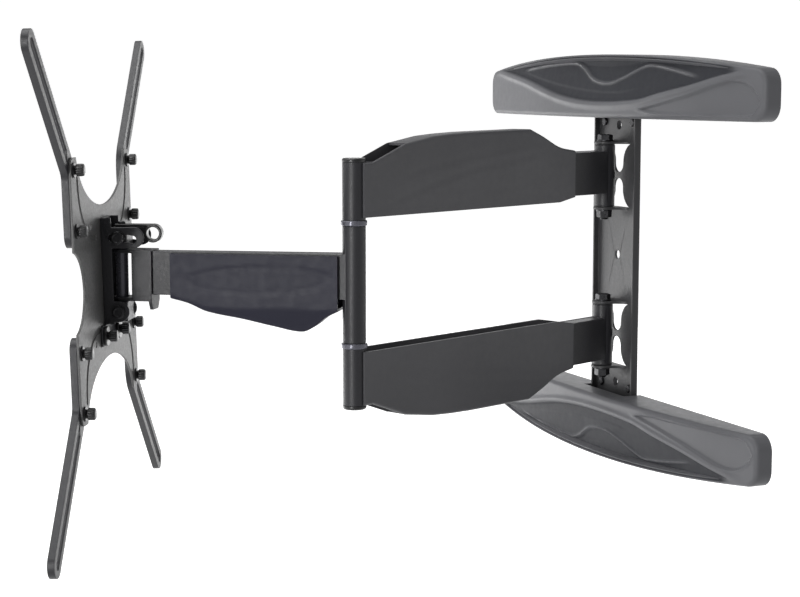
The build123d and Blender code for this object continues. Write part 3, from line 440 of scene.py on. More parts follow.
def finish(slot):
    """The material of a slot, made the first time it is asked for."""
    name = f"{slot}_finish"
    ready = bpy.data.materials.get(name)
    if ready:
        return ready
    shades = bpy.context.scene.mount_finishes
    makers = {
        "black_coat": lambda: powder_coat(name, shades.steel_coat, 0.42),
        "plate_coat": lambda: powder_coat(name, shades.wall_coat, 0.46),
        "screen_coat": lambda: powder_coat(name, shades.screen_coat, 0.44),
        "cover_plastic": lambda: cover_plastic(name, shades.wall_cover, shades.lens_field, 0.42),
        "arm_plastic": lambda: moulded_plastic(name, shades.arm_cover, 0.50),
        "forearm_plastic": lambda: moulded_plastic(name, shades.forearm_cover, 0.42, specular=0.22),
        "black_fastener": lambda: black_oxide(name, shades.fastener, 0.34),
        "pin_steel": lambda: oiled_steel(name, shades.pin, 0.24),
        "bush_plastic": lambda: moulded_plastic(name, shades.bushing, 0.48, grain=2400.0, depth=0.00002),
        "knob_plastic": lambda: gloss_plastic(name, shades.knob, 0.34),
    }
    return makers[slot]()


node_slots = {part["node"]: part["material_slot"] for part in frame["record"]["subparts"]}

# ---------------------------------------------------------------- wall covers

COVER_HALF = 265.0
COVER_EDGE = 136.0
COVER_END, COVER_CROWN = 45.0, 61.0  # height of the front at its ends and in the middle
COVER_SHALLOW, COVER_DEEP = 16.0, 40.0  # depth at its ends and in the middle
NOTCH_HALF, NOTCH_BACK = 40.5, 18.5

# Lines of the relief on a wall cover: along the cover, and up from its straight edge.
LENS_EDGE = [(-250, 50), (-235, 48), (-151, 37), (-63, 21), (5, 15.5), (84, 17.5)]
LENS_EDGE += [(122, 24), (165, 31), (210, 40), (240, 44)]
LENS_CREASE = [(-200, 47), (-151, 43), (-102, 36), (-63, 31), (5, 25.5), (53, 25), (120, 33)]
WAVE = [(-157, 47), (-97, 52), (-42, 53.5), (-24, 49), (-4, 38.5), (16, 34), (35, 34)]
WAVE += [(56, 39), (77, 46), (92, 50), (106, 50), (136, 46), (176, 39)]
WAVE_START, WAVE_FULL, WAVE_FADE, WAVE_STOP = -162, -140, 158, 180
WAVE_WIDTH = 1.4
TEAR_TOP = [(86, 9), (122, 15), (168, 24), (218, 35), (240, 34), (254, 26), (260, 17)]
TEAR_FOOT = [(86, 9), (110, 5.5), (152, 4.5), (219, 4), (250, 6), (260, 17)]


class CoverForm:
    """Front outline and bow of a wall cover, drawn in by an inset."""

    def __init__(self, inset, corner):
        self.half = COVER_HALF - inset
        self.low = inset
        self.corner = corner - inset
        sagitta = COVER_CROWN - COVER_END
        radius = (COVER_HALF**2 + sagitta**2) / (2 * sagitta)
        self.crown_r = radius - inset
        self.crown_z = COVER_CROWN - radius
        self.end = self.half - self.corner
        self.corner_z = self.crown_z + math.sqrt((self.crown_r - self.corner) ** 2 - self.end**2)
        self.tangent_x = self.end * self.crown_r / (self.crown_r - self.corner)
        bow = COVER_DEEP - COVER_SHALLOW
        self.bow_r = (COVER_HALF**2 + bow**2) / (2 * bow)
        self.inset = inset

    def span(self, x):
        """Lowest and highest point of the front at x."""
        over = max(0.0, abs(x) - self.end)
        drop = math.sqrt(max(0.0, self.corner**2 - over**2))
        low = self.low + self.corner - drop
        high = self.crown_z + math.sqrt(self.crown_r**2 - x**2)
        if abs(x) > self.tangent_x:
            high = self.corner_z + drop
        return low, high

    def inside(self, x, z):
        """Distance in from the outline."""
        over = abs(x) - self.end
        if over > 0 and z < self.low + self.corner:
            return self.corner - math.hypot(over, self.low + self.corner - z)
        if over > 0 and z > self.corner_z:
            return self.corner - math.hypot(over, z - self.corner_z)
        return min(z - self.low, self.half - abs(x), self.crown_r - math.hypot(x, z - self.crown_z))

    def depth(self, x):
        """How far the bowed front stands from the wall."""
        fall = self.bow_r - math.sqrt(self.bow_r**2 - x**2)
        return COVER_DEEP - self.inset - fall


def lens_share(x, z):
    """1 inside the dark lens field of a wall cover, 0 outside it."""
    ends = smooth(-252, -232, x) * (1 - smooth(214, 240, x))
    return smooth(-0.8, 1.6, beside(LENS_EDGE, x, z)) * ends


def wave_run(x):
    """1 along the wave line, fading out at its two ends."""
    return smooth(WAVE_START, WAVE_FULL, x) * (1 - smooth(WAVE_FADE, WAVE_STOP, x))


def wave_highlight_share(x, z):
    """1 on the crest of the wave line, where the dark field is lightened as a painted highlight."""
    return wave_run(x) * bump(beside(WAVE, x, z), WAVE_WIDTH)


def cover_relief(x, z, settings):
    """How far the front is pressed in at a place; raised lines count as less than nothing."""
    sunk = settings.lens * lens_share(x, z)
    crease = smooth(-200, -120, x) * (1 - smooth(40, 110, x))
    sunk -= 0.6 * crease * smooth(-1.2, 1.2, beside(LENS_CREASE, x, z))
    sunk += settings.lean * lens_share(x, z) * min(1.0, max(0.0, beside(LENS_EDGE, x, z)) / 34.0)
    over_wave = beside(WAVE, x, z)
    sunk -= settings.wave * wave_run(x) * bump(over_wave, WAVE_WIDTH)
    sunk += 0.7 * wave_run(x) * smooth(-0.6, 1.4, over_wave)
    below_lens = -beside(LENS_EDGE, x, z)
    band_run = smooth(-262, -200, x) * (1 - smooth(225, 250, x))
    sunk -= settings.band * band_run * bump(below_lens - 3.2, 3.0)
    if TEAR_TOP[0][0] < x < TEAR_TOP[-1][0]:
        within = min(-beside(TEAR_TOP, x, z), beside(TEAR_FOOT, x, z), TEAR_TOP[-1][0] - x)
        sunk += settings.tear * smooth(0.0, 2.4, within)
        sunk -= 0.5 * bump(within, 1.1)
    return sunk


def cover_columns(step, corner):
    """Stations along a wall cover, close together round its corners."""
    turns = 18
    ends = [COVER_HALF - corner * (1 - math.sin(math.radians(90 - 90 * k / turns))) for k in range(turns + 1)]
    reach = COVER_HALF - corner
    count = round(2 * reach / step)
    middle = [-reach + 2 * reach * k / count for k in range(1, count)]
    notch = [NOTCH_HALF, -NOTCH_HALF]
    middle = [x for x in middle if min(abs(x - n) for n in notch) > step / 3]
    return sorted([-x for x in ends] + middle + notch + ends)


def cover_rows(low, high, rows):
    """Heights across the front, close together along both rims."""
    rim_steps = (0.0, 0.12, 0.45, 1.0, 1.8, 2.8, 4.0)
    squeeze = min(1.0, (high - low) / 18.0)
    foot = [low + s * squeeze for s in rim_steps]
    head = [high - s * squeeze for s in reversed(rim_steps)]
    inner = rows - 2 * len(rim_steps) + 1
    return foot + [foot[-1] + (head[0] - foot[-1]) * k / inner for k in range(1, inner)] + head


def cover_sheet(skin, form, columns, settings, outside):
    """Front grid of a wall cover: one list of points for each station along it."""
    grid = []
    rim_r = settings.rim if outside else settings.rim - settings.wall
    for x_outer in columns:
        x = x_outer * form.half / COVER_HALF
        low, high = form.span(x)
        column = []
        for z in cover_rows(low, high, settings.rows):
            inside = max(0.0, form.inside(x, z))
            back = rim_r - math.sqrt(rim_r**2 - max(0.0, rim_r - inside) ** 2)
            y = -form.depth(x) + back
            y += cover_relief(x, z, settings) * smooth(0.5, 5.0, inside)
            field = 0.0
            if outside:
                # painted highlight: the dark field is lightened along the crest of the wave line
                field = lens_share(x, z) * smooth(1.0, 3.0, inside) * (1 - 0.9 * wave_highlight_share(x, z))
            column.append((x, y, z, field))
        grid.append(column)
    return [skin.row(column) for column in grid]


def rim_loop(grid):
    """Points round the outline of a grid, and how many of them run along its straight edge."""
    foot = [column[0] for column in grid]
    right = grid[-1][1:]
    head = [column[-1] for column in reversed(grid[:-1])]
    left = grid[0][-2:0:-1]
    return foot + right + head + left, len(foot)


def wall_cover_skin(way, settings):
    """Hollow bowed cover with its relief, open at the back and notched over the wall plate."""
    skin = Skin()
    columns = cover_columns(settings.step, settings.corner)
    shells = []
    for outside in (True, False):
        form = CoverForm(0.0 if outside else settings.wall, settings.corner)
        grid = cover_sheet(skin, form, columns, settings, outside)
        for one, two in zip(grid, grid[1:]):
            skin.bridge(one, two)
        loop, foot_count = rim_loop(grid)
        levels = [loop]
        for share in (0.5, 1.0):
            ring = []
            for index, corner in enumerate(loop):
                x, y, z = skin.points[corner]
                in_notch = index < foot_count and abs(columns[index]) <= NOTCH_HALF + 0.01
                middle = -NOTCH_BACK if in_notch else y * 0.5
                ring.append(skin.point(x, middle if share < 1 else 0.0, z))
            levels.append(ring)
        shells.append(levels)
    count = len(shells[0][0])
    notched = [i for i in range(foot_count - 1) if abs(columns[i] + columns[i + 1]) / 2 < NOTCH_HALF]
    for levels in shells:
        skin.bridge(levels[0], levels[1], closed=True)
        for i in range(count):
            if i not in notched:
                j = (i + 1) % count
                skin.faces.append((levels[1][i], levels[1][j], levels[2][j], levels[2][i]))
    outer, inner = shells
    for i in range(count):
        j = (i + 1) % count
        level = 1 if i in notched else 2
        skin.faces.append((outer[level][i], outer[level][j], inner[level][j], inner[level][i]))
    for i in (notched[0], notched[-1] + 1):
        skin.faces.append((outer[1][i], outer[2][i], inner[2][i], inner[1][i]))
    skin.points = [(x, y, way * (COVER_EDGE + z)) for x, y, z in skin.points]
    return skin


# ---------------------------------------------------------------- arm and forearm covers

ARM_START, ARM_END, ARM_OPEN = 64.0, 356.0, 302.0
ARM_CROWN_SOFT = [(64, 105.5), (88, 109.5), (112, 119.5), (132, 127)]
ARM_CROWN_STRAIGHT = [(132, 127), (218, 126), (245, 125), (267.7, 123.5), (304, 118)]
ARM_CROWN_STRAIGHT += [(345, 103.2), (356, 103.2)]
ARM_EDGE = [(64, 61), (88, 57), (356, 57)]
ARM_FOLDS = [
    [(96, 108), (152, 100), (225, 91), (300, 74), (345, 60)],
    [(110, 116), (166, 110), (224, 104), (290, 93), (330, 82)],
    [(90, 86), (150, 76), (210, 68), (260, 62)],
]
FORE_START, FORE_END = 12.0, 159.0
FORE_TOP = 24.5
FORE_BELLY = [(12, -22.5), (22.7, -28), (32, -35.5), (44, -41), (70, -36.5)]
FORE_BELLY += [(95, -31), (127, -25), (143, -18.3), (159, -14.3)]
FORE_FACET = [(12, -20.5), (31, -21.5), (48, -20.6), (106, -21.6), (130, -20), (145, -15), (159, -11)]
OVAL_MID, OVAL_LONG, OVAL_HIGH, OVAL_LEAN = (81.0, 3.0), 61.0, 11.0, 0.03
PIP_AT, PIP_R = (141.0, 3.9), 1.6
BAR_HALF = 8.3  # half width of the opening that an arm's bar passes through
ARM_BAR_TOP, FORE_BAR_TOP = 103.3, -12.2  # how far that opening reaches into each end wall


def straight(points, x):
    """Height at x of straight runs between the points."""
    for (x0, y0), (x1, y1) in zip(points, points[1:]):
        if x <= x1:
            return y0 + (y1 - y0) * max(0.0, x - x0) / (x1 - x0)
    return points[-1][1]


def stations(start, end, step, corners):
    """Places along a cover, evenly spaced but with its corners among them."""
    places = []
    for a, b in zip([start, *corners], [*corners, end]):
        count = max(1, round((b - a) / step))
        places += [a + (b - a) * k / count for k in range(count)]
    return places + [end]


def arm_crown(s):
    return soft_curve(ARM_CROWN_SOFT, s)[0] if s < ARM_CROWN_SOFT[-1][0] else straight(ARM_CROWN_STRAIGHT, s)


def arm_side(s, z, settings):
    """Half width of an arm cover and its folds at a place on its side."""
    fold = 0.0
    for k, line in enumerate(ARM_FOLDS):
        run = smooth(line[0][0] - 10, line[0][0] + 40, s) * (1 - smooth(line[-1][0] - 40, line[-1][0], s))
        gap = beside(line, s, z)
        fold += run * (bump(gap, 2.2) - 0.7 * bump(gap + 5, 4.0)) * (1.0 - 0.25 * k)
    calm = smooth(0, 6, z - straight(ARM_EDGE, s)) * smooth(0, 8, arm_crown(s) - z)
    return settings.half, -settings.fold * max(0.0, 0.5 + 0.5 * fold) * calm


def forearm_side(s, z, settings):
    """Half width of the forearm cover, which draws in to its belly, and its pressed oval line."""
    below = straight(FORE_FACET, s) - z
    half = settings.half - settings.facet * min(1.0, max(0.0, below) / 19.0)
    lean = z - OVAL_MID[1] + OVAL_LEAN * (s - OVAL_MID[0])
    away = math.hypot((s - OVAL_MID[0]) / OVAL_LONG, lean / OVAL_HIGH)
    pressed = settings.contour * bump((away - 1.0) * OVAL_HIGH, 1.3) + 0.25 * (1 - smooth(0.8, 1.0, away))
    pip = 0.5 * bump(math.hypot(s - PIP_AT[0], z - PIP_AT[1]), PIP_R)
    return half, pip - pressed


def channel_skin(places, edge, crown, side, settings, open_from=None, way=1):
    """Cover of inverted-U section: two sides, a rounded crown, an end wall and an open edge.

    The end wall is at the first place and has an opening for the arm's bar. Past open_from
    the crown is open between the sides.
    """
    skin = Skin()
    wall = settings.wall
    turns = 5
    loops = []
    for s in places:
        low, high = edge(s), crown(s)
        shoulder = high - way * wall
        heights = [low + (shoulder - low) * k / settings.rows for k in range(settings.rows + 1)]
        widths = [side(s, z, settings) for z in heights]
        outer = [(s, half + dent, z) for z, (half, dent) in zip(heights, widths)]
        top_half = widths[-1][0]
        for k in range(1, turns + 1):
            turn = math.radians(90 * k / turns)
            outer.append((s, top_half - wall * (1 - math.cos(turn)), shoulder + way * wall * math.sin(turn)))
        inner = [(s, half - wall, z) for z, (half, _) in zip(heights, widths)]
        half_loops = []
        for hand in (1, -1):
            half_loops.append([skin.row([(x, hand * y, z) for x, y, z in part]) for part in (outer, inner)])
        loops.append(half_loops)
    for index, (one, two) in enumerate(zip(loops, loops[1:])):
        is_open = open_from is not None and places[index] >= open_from - 0.01
        for hand in (0, 1):
            (outer_one, inner_one), (outer_two, inner_two) = one[hand], two[hand]
            skin.bridge(outer_one, outer_two)
            skin.bridge(inner_one, inner_two)
            skin.bridge([outer_one[0], inner_one[0]], [outer_two[0], inner_two[0]])
            if is_open:
                skin.bridge([outer_one[-1], inner_one[-1]], [outer_two[-1], inner_two[-1]])
        if not is_open:
            skin.bridge([one[0][0][-1], one[1][0][-1]], [two[0][0][-1], two[1][0][-1]])
            skin.bridge([one[0][1][-1], one[1][1][-1]], [two[0][1][-1], two[1][1][-1]])
    return skin, loops


def close_end(skin, loop, is_open):
    """Closes the section at one end of a channel cover."""
    for outer, inner in loop:
        if is_open:
            skin.cap([*outer, *reversed(inner)])
    if not is_open:
        (outer_a, inner_a), (outer_b, inner_b) = loop
        skin.cap([*outer_a, *reversed(outer_b), *inner_b, *reversed(inner_a)])


def close_step(skin, loop):
    """Closes the cut across the crown, where an open stretch begins."""
    (outer_a, inner_a), (outer_b, inner_b) = loop
    skin.cap([outer_a[-1], outer_b[-1], inner_b[-1], inner_a[-1]])


def end_wall(skin, loop, s, way_in, hole_top, way):
    """End wall with an opening for the bar, open to the cover's edge."""
    (outer_a, _), (outer_b, _) = loop
    ring = [*outer_a, *reversed(outer_b)]
    holes = []
    for depth in (0.0, way_in):
        hole = []
        for corner in ring:
            _, y, z = skin.points[corner]
            top = min(z, hole_top) if way > 0 else max(z, hole_top)
            hole.append(skin.point(s + depth, max(-BAR_HALF, min(BAR_HALF, y)), top))
        holes.append(hole)
    skin.bridge(ring, holes[0])
    skin.bridge(holes[0], holes[1])
    return holes[1]


def arm_cover_skin(way, settings):
    """Fin-shaped cover of an arm."""
    places = stations(ARM_START, ARM_END, settings.step, (88.0, 132.0, 218.0, ARM_OPEN, 304.0, 345.0))
    skin, loops = channel_skin(
        places, lambda s: straight(ARM_EDGE, s), arm_crown, arm_side, settings, open_from=ARM_OPEN
    )
    close_end(skin, loops[-1], True)
    close_step(skin, loops[places.index(ARM_OPEN)])
    start_wall(skin, loops[0], places[0], settings.wall, ARM_BAR_TOP, 1)
    skin.points = [(x, y, way * z) for x, y, z in skin.points]
    return skin


def start_wall(skin, loop, s, reach, hole_top, way):
    """Front end wall of a channel cover: outside face, opening and inside face."""
    inner_hole = end_wall(skin, loop, s, reach, hole_top, way)
    (_, inner_a), (_, inner_b) = loop
    ring = [*inner_a, *reversed(inner_b)]
    size = len(inner_hole) // 2
    short = len(inner_a)
    near = [*inner_hole[:short], *inner_hole[2 * size - short :]]
    skin.bridge(ring, near)


def forearm_cover_skin(settings):
    """Forearm cover: straight open edge on top, belly below."""
    corners = (22.7, 44.0, 127.0)
    places = stations(FORE_START, FORE_END, settings.step * 0.7, corners)
    places.reverse()
    skin, loops = channel_skin(
        places,
        lambda s: FORE_TOP,
        lambda s: soft_curve(FORE_BELLY, s)[0],
        forearm_side,
        settings,
        way=-1,
    )
    close_end(skin, loops[-1], False)
    start_wall(skin, loops[0], places[0], -settings.wall, FORE_BAR_TOP, -1)
    return skin


# ---------------------------------------------------------------- fasteners


def lathe(skin, place, profile, segments=48, flutes=0, flute=0.0, fluted=()):
    """Turned shape along its own x: (x, radius) rings, some of them fluted, with closed ends."""
    rings = []
    for index, (x, radius) in enumerate(profile):
        ring = []
        for k in range(segments):
            turn = 2 * math.pi * k / segments
            r = radius
            if index in fluted:
                r -= flute * (0.5 - 0.5 * math.cos(flutes * turn)) ** 1.5
            ring.append(place @ Vector((x, r * math.cos(turn), r * math.sin(turn))))
        rings.append(skin.row([tuple(p) for p in ring]))
    for one, two in zip(rings, rings[1:]):
        skin.bridge(one, two, closed=True)
    skin.cap(rings[0])
    skin.cap(rings[-1])


def hexagon(skin, place, half_flats, height, chamfer, bore=0.0):
    """Hexagon along its own x from 0 to the height, chamfered at its far end, with an optional bore."""
    segments = 72
    slope = math.tan(math.radians(chamfer))
    foot, shoulder = [], []
    for k in range(segments):
        turn = 2 * math.pi * k / segments
        side = (turn + math.pi / 6) % (math.pi / 3) - math.pi / 6
        r = half_flats / math.cos(side)
        foot.append((0.0, r, turn))
        shoulder.append((height - (r - half_flats * 0.94) * slope, r, turn))
    top = [(height, half_flats * 0.94, turn) for _, _, turn in foot]
    levels = [foot, shoulder, top]
    if bore:
        lip = bore * 1.1
        mouth = [(height, lip), (height - lip + bore, bore), (0.0, bore)]
        levels += [[(x, r, t) for _, _, t in foot] for x, r in mouth]
    else:
        dish = [(height, half_flats * 0.72, 0.0), (height - 0.25, half_flats * 0.64, 0.0)]
        levels += [[(x, r, t) for _, _, t in foot] for x, r, _ in dish]
    rows = []
    for level in levels:
        placed = [place @ Vector((x, r * math.cos(t), r * math.sin(t))) for x, r, t in level]
        rows.append(skin.row([tuple(p) for p in placed]))
    for one, two in zip(rows, rows[1:]):
        skin.bridge(one, two, closed=True)
    if bore:
        skin.bridge(rows[-1], rows[0], closed=True)
    else:
        skin.cap(rows[0])
        skin.cap(rows[-1])


def rod_profile(start, end, radius, thread_from, pitch):
    """Rings of a rod from start to end, threaded from a place to its far end."""
    profile = [(start, radius), (thread_from, radius)]
    count = int((end - thread_from) / pitch)
    for k in range(count):
        low = thread_from + k * pitch
        profile += [(low + 0.35 * pitch, radius - 0.5 * pitch), (low + 0.8 * pitch, radius)]
    profile += [(end - 0.4 * pitch, radius - 0.05), (end, radius - 0.5 * pitch)]
    return profile


def spot(x, y, z, x_dir=(1, 0, 0), z_dir=(0, 0, 1)):
    """Local frame in millimetres at a point, with its x along x_dir."""
    return placing(Vector((x, y, z)), Vector(x_dir), Vector(z_dir))


KNOB_R, KNOB_LONG, KNOB_WASHER = 5.2, 8.0, 1.2
LOCK_SHANK_R, LOCK_PITCH = 2.5, 0.8
PLATE_BACK, PLATE_FRONT = 13.0, 15.0
CENTRE_RISE = 26.5
HOLE_OUT, HOLE_IN = 100.0, 50.0
hole_places = [
    (side * HOLE_OUT, way * rise) for side in (1, -1) for way in (1, -1) for rise in (HOLE_OUT, HOLE_IN)
]


def knob(skin, place, settings):
    """Fluted hand knob that stands along its own x, with a collar at its foot and a domed end."""
    profile = [(0.0, KNOB_R * 0.72), (0.9, KNOB_R * 0.74), (1.3, KNOB_R * 0.82), (1.9, KNOB_R * 0.97)]
    profile += [(2.4, KNOB_R), (KNOB_LONG - 2.0, KNOB_R), (KNOB_LONG - 1.2, KNOB_R * 0.96)]
    for k in range(1, 5):
        turn = math.radians(90 * k / 5)
        profile.append((KNOB_LONG - 1.2 + 1.2 * math.sin(turn), KNOB_R * (0.96 - 0.5 * (1 - math.cos(turn)))))
    profile.append((KNOB_LONG, KNOB_R * 0.35))
    lathe(skin, place, profile, 112, settings.flutes, settings.flute, fluted=(4, 5, 6, 7))


# ---------------------------------------------------------------- operators


class MOUNT_OT_wall_covers(bpy.types.Operator):
    """Mould the two bowed wall covers with their lens, wave and teardrop lines"""

    bl_idname = "mount.wall_covers"
    bl_label = "Wall Covers"

    def execute(self, context):
        settings = context.scene.mount_wall_covers
        for name, way in (("upper_cover", 1), ("lower_cover", -1)):
            piece = make_piece(f"{name}_moulding", wall_cover_skin(way, settings), wall_place)
            settle(piece, name, node_slots[name])
        return {"FINISHED"}


class MOUNT_OT_arm_covers(bpy.types.Operator):
    """Mould the fin-shaped covers of the two arms"""

    bl_idname = "mount.arm_covers"
    bl_label = "Arm Covers"

    def execute(self, context):
        settings = context.scene.mount_arm_covers
        for name, way in (("upper_arm_cover", 1), ("lower_arm_cover", -1)):
            piece = make_piece(f"{name}_moulding", arm_cover_skin(way, settings), arm_place)
            settle(piece, name, node_slots[name])
        return {"FINISHED"}


class MOUNT_OT_forearm_cover(bpy.types.Operator):
    """Mould the forearm cover with its long oval line and drawn-in belly"""

    bl_idname = "mount.forearm_cover"
    bl_label = "Forearm Cover"

    def execute(self, context):
        settings = context.scene.mount_arm_covers
        piece = make_piece("forearm_cover_moulding", forearm_cover_skin(settings), forearm_place)
        settle(piece, "forearm_cover", node_slots["forearm_cover"])
        return {"FINISHED"}


class MOUNT_OT_knobs(bpy.types.Operator):
    """Turn the fluted knobs of the extension arms and of the two plate locks"""

    bl_idname = "mount.knobs"
    bl_label = "Knobs"

    def execute(self, context):
        settings = context.scene.mount_fasteners
        skin = Skin()
        for y, z in hole_places:
            knob(skin, spot(PLATE_BACK - KNOB_WASHER, y, CENTRE_RISE + z, x_dir=(-1, 0, 0)), settings)
        piece = make_piece("extension_knobs_fluted", skin, tilt_place)
        settle(piece, "extension_knobs", node_slots["extension_knobs"])
        for side, place in lock_places.items():
            node = f"lock_screw_{side}"
            skin = Skin()
            reach = [(place.inverted() @ corner).x / MM for corner in node_corners(node)]
            knob(skin, spot(min(reach) + KNOB_LONG, 0, 0, x_dir=(-1, 0, 0)), settings)
            long = max(reach) - min(reach) - KNOB_LONG
            shank = rod_profile(0.0, long, LOCK_SHANK_R, 1.0, LOCK_PITCH)
            lathe(skin, spot(min(reach) + KNOB_LONG, 0, 0), shank, 40)
            piece = make_piece(f"{node}_fluted", skin, place)
            settle(piece, node, node_slots[node])
        return {"FINISHED"}


def node_corners(node):
    """Points of a CAD node at rest."""
    return [vertex.co for vertex in frame["nodes"][node].data.vertices]


HINGE_STATION, HINGE_EAR, HINGE_WASHER = 79.0, 33.5, 1.5
HINGE_R, HINGE_FLATS, HINGE_HEAD, HINGE_NUT, HINGE_TAIL = 4.0, 6.5, 5.3, 6.5, 2.0
TILT_LEVELS, TILT_FACE, TILT_WASHER = (37.5, -26.5), 16.8, 1.2
TILT_R, TILT_FLATS, TILT_HEAD, TILT_NUT, TILT_TAIL = 3.0, 5.0, 3.6, 4.0, 1.0
THREAD_PLAY = 0.02


class MOUNT_OT_hex_fasteners(bpy.types.Operator):
    """Forge the chamfered bolts and nuts of the wall hinges and of the tilt head"""

    bl_idname = "mount.hex_fasteners"
    bl_label = "Bolts And Nuts"

    def execute(self, context):
        settings = context.scene.mount_fasteners
        chamfer, pitch = settings.chamfer, settings.thread
        bolts, nuts = Skin(), Skin()
        for station in (HINGE_STATION, -HINGE_STATION):
            head = station + HINGE_EAR + HINGE_WASHER
            foot = station - HINGE_EAR - HINGE_WASHER - HINGE_NUT - HINGE_TAIL
            hexagon(bolts, spot(0, 0, head, (0, 0, 1), (1, 0, 0)), HINGE_FLATS, HINGE_HEAD, chamfer)
            rod = rod_profile(0.0, head - foot, HINGE_R, head - foot - HINGE_NUT - HINGE_TAIL - 1, pitch)
            lathe(bolts, spot(0, 0, head, (0, 0, -1), (1, 0, 0)), rod, 40)
            place = spot(0, 0, foot + HINGE_NUT + HINGE_TAIL, (0, 0, -1), (1, 0, 0))
            hexagon(nuts, place, HINGE_FLATS, HINGE_NUT, chamfer, HINGE_R + THREAD_PLAY)
        hinge_place = Matrix.Translation(wall_hinge)
        settle(make_piece("hinge_bolts_chamfered", bolts, hinge_place), "hinge_bolts", "black_fastener")
        settle(make_piece("hinge_nuts_chamfered", nuts, hinge_place), "hinge_nuts", "black_fastener")
        out = TILT_FACE + TILT_WASHER
        bolts, nuts = Skin(), Skin()
        for level in TILT_LEVELS:
            hexagon(bolts, spot(0, out, level, (0, 1, 0)), TILT_FLATS, TILT_HEAD, chamfer)
            long = 2 * out + TILT_NUT + TILT_TAIL
            rod = rod_profile(0.0, long, TILT_R, long - TILT_NUT - TILT_TAIL - 1, pitch)
            lathe(bolts, spot(0, out, level, (0, -1, 0)), rod, 40)
            place = spot(0, -out, level, (0, -1, 0))
            hexagon(nuts, place, TILT_FLATS, TILT_NUT, chamfer, TILT_R + THREAD_PLAY)
        settle(make_piece("tilt_bolts_chamfered", bolts, head_place), "tilt_bolts", "black_fastener")
        settle(make_piece("tilt_nuts_chamfered", nuts, head_place), "tilt_nuts", "black_fastener")
        return {"FINISHED"}


def smooth_by_angle(limit):
    """Node group that shades a mesh smooth but keeps edges over the limit sharp."""
    name = "smooth_by_angle"
    if name in bpy.data.node_groups:
        return bpy.data.node_groups[name]
    group = bpy.data.node_groups.new(name, "GeometryNodeTree")
    group.interface.new_socket("Geometry", in_out="INPUT", socket_type="NodeSocketGeometry")
    group.interface.new_socket("Geometry", in_out="OUTPUT", socket_type="NodeSocketGeometry")
    nodes, links = group.nodes, group.links
    start, end = nodes.new("NodeGroupInput"), nodes.new("NodeGroupOutput")
    angle = nodes.new("GeometryNodeInputMeshEdgeAngle")
    gentle = nodes.new("FunctionNodeCompare")
    gentle.operation = "LESS_THAN"
    gentle.inputs[1].default_value = limit
    links.new(angle.outputs["Unsigned Angle"], gentle.inputs[0])
    faces = nodes.new("GeometryNodeSetShadeSmooth")
    edges = nodes.new("GeometryNodeSetShadeSmooth")
    edges.domain = "EDGE"
    links.new(start.outputs[0], faces.inputs["Geometry"])
    links.new(faces.outputs[0], edges.inputs["Geometry"])
    links.new(gentle.outputs[0], edges.inputs["Shade Smooth"])
    links.new(edges.outputs[0], end.inputs[0])
    return group


class MOUNT_OT_kept_parts(bpy.types.Operator):
    """Soften the edges of the kept CAD parts and give them their finishes"""

    bl_idname = "mount.kept_parts"
    bl_label = "Kept Parts"

    softened = {
        "upper_arm": 0.5,
        "lower_arm": 0.5,
        "forearm": 0.5,
        "tilt_channel": 0.7,
        "wall_plate": 0.5,
        "screen_plate": 0.35,
        "cable_loop": 0.7,
        "upper_tilt_block": 0.4,
        "lower_tilt_block": 0.4,
        "swivel_bracket": 0.5,
        "extension_bolts": 0.6,
        "plate_lock_discs": 0.6,
    }

    def execute(self, context):
        for name, node in frame["nodes"].items():
            node.data.materials.clear()
            node.data.materials.append(finish(node_slots[name]))
            if node.hide_render:
                continue
            weld = node.modifiers.new("weld", "WELD")
            weld.merge_threshold = 0.000005
            bevel = node.modifiers.new("soft_edges", "BEVEL")
            bevel.width = self.softened.get(name, 0.3) * MM
            bevel.segments = 2
            bevel.limit_method = "ANGLE"
            bevel.angle_limit = math.radians(40)
            bevel.use_clamp_overlap = False
            shading = node.modifiers.new("smooth_by_angle", "NODES")
            shading.node_group = smooth_by_angle(math.radians(50))
            weighted = node.modifiers.new("flat_faces", "WEIGHTED_NORMAL")
            weighted.weight = 100
            weighted.keep_sharp = True
        return {"FINISHED"}


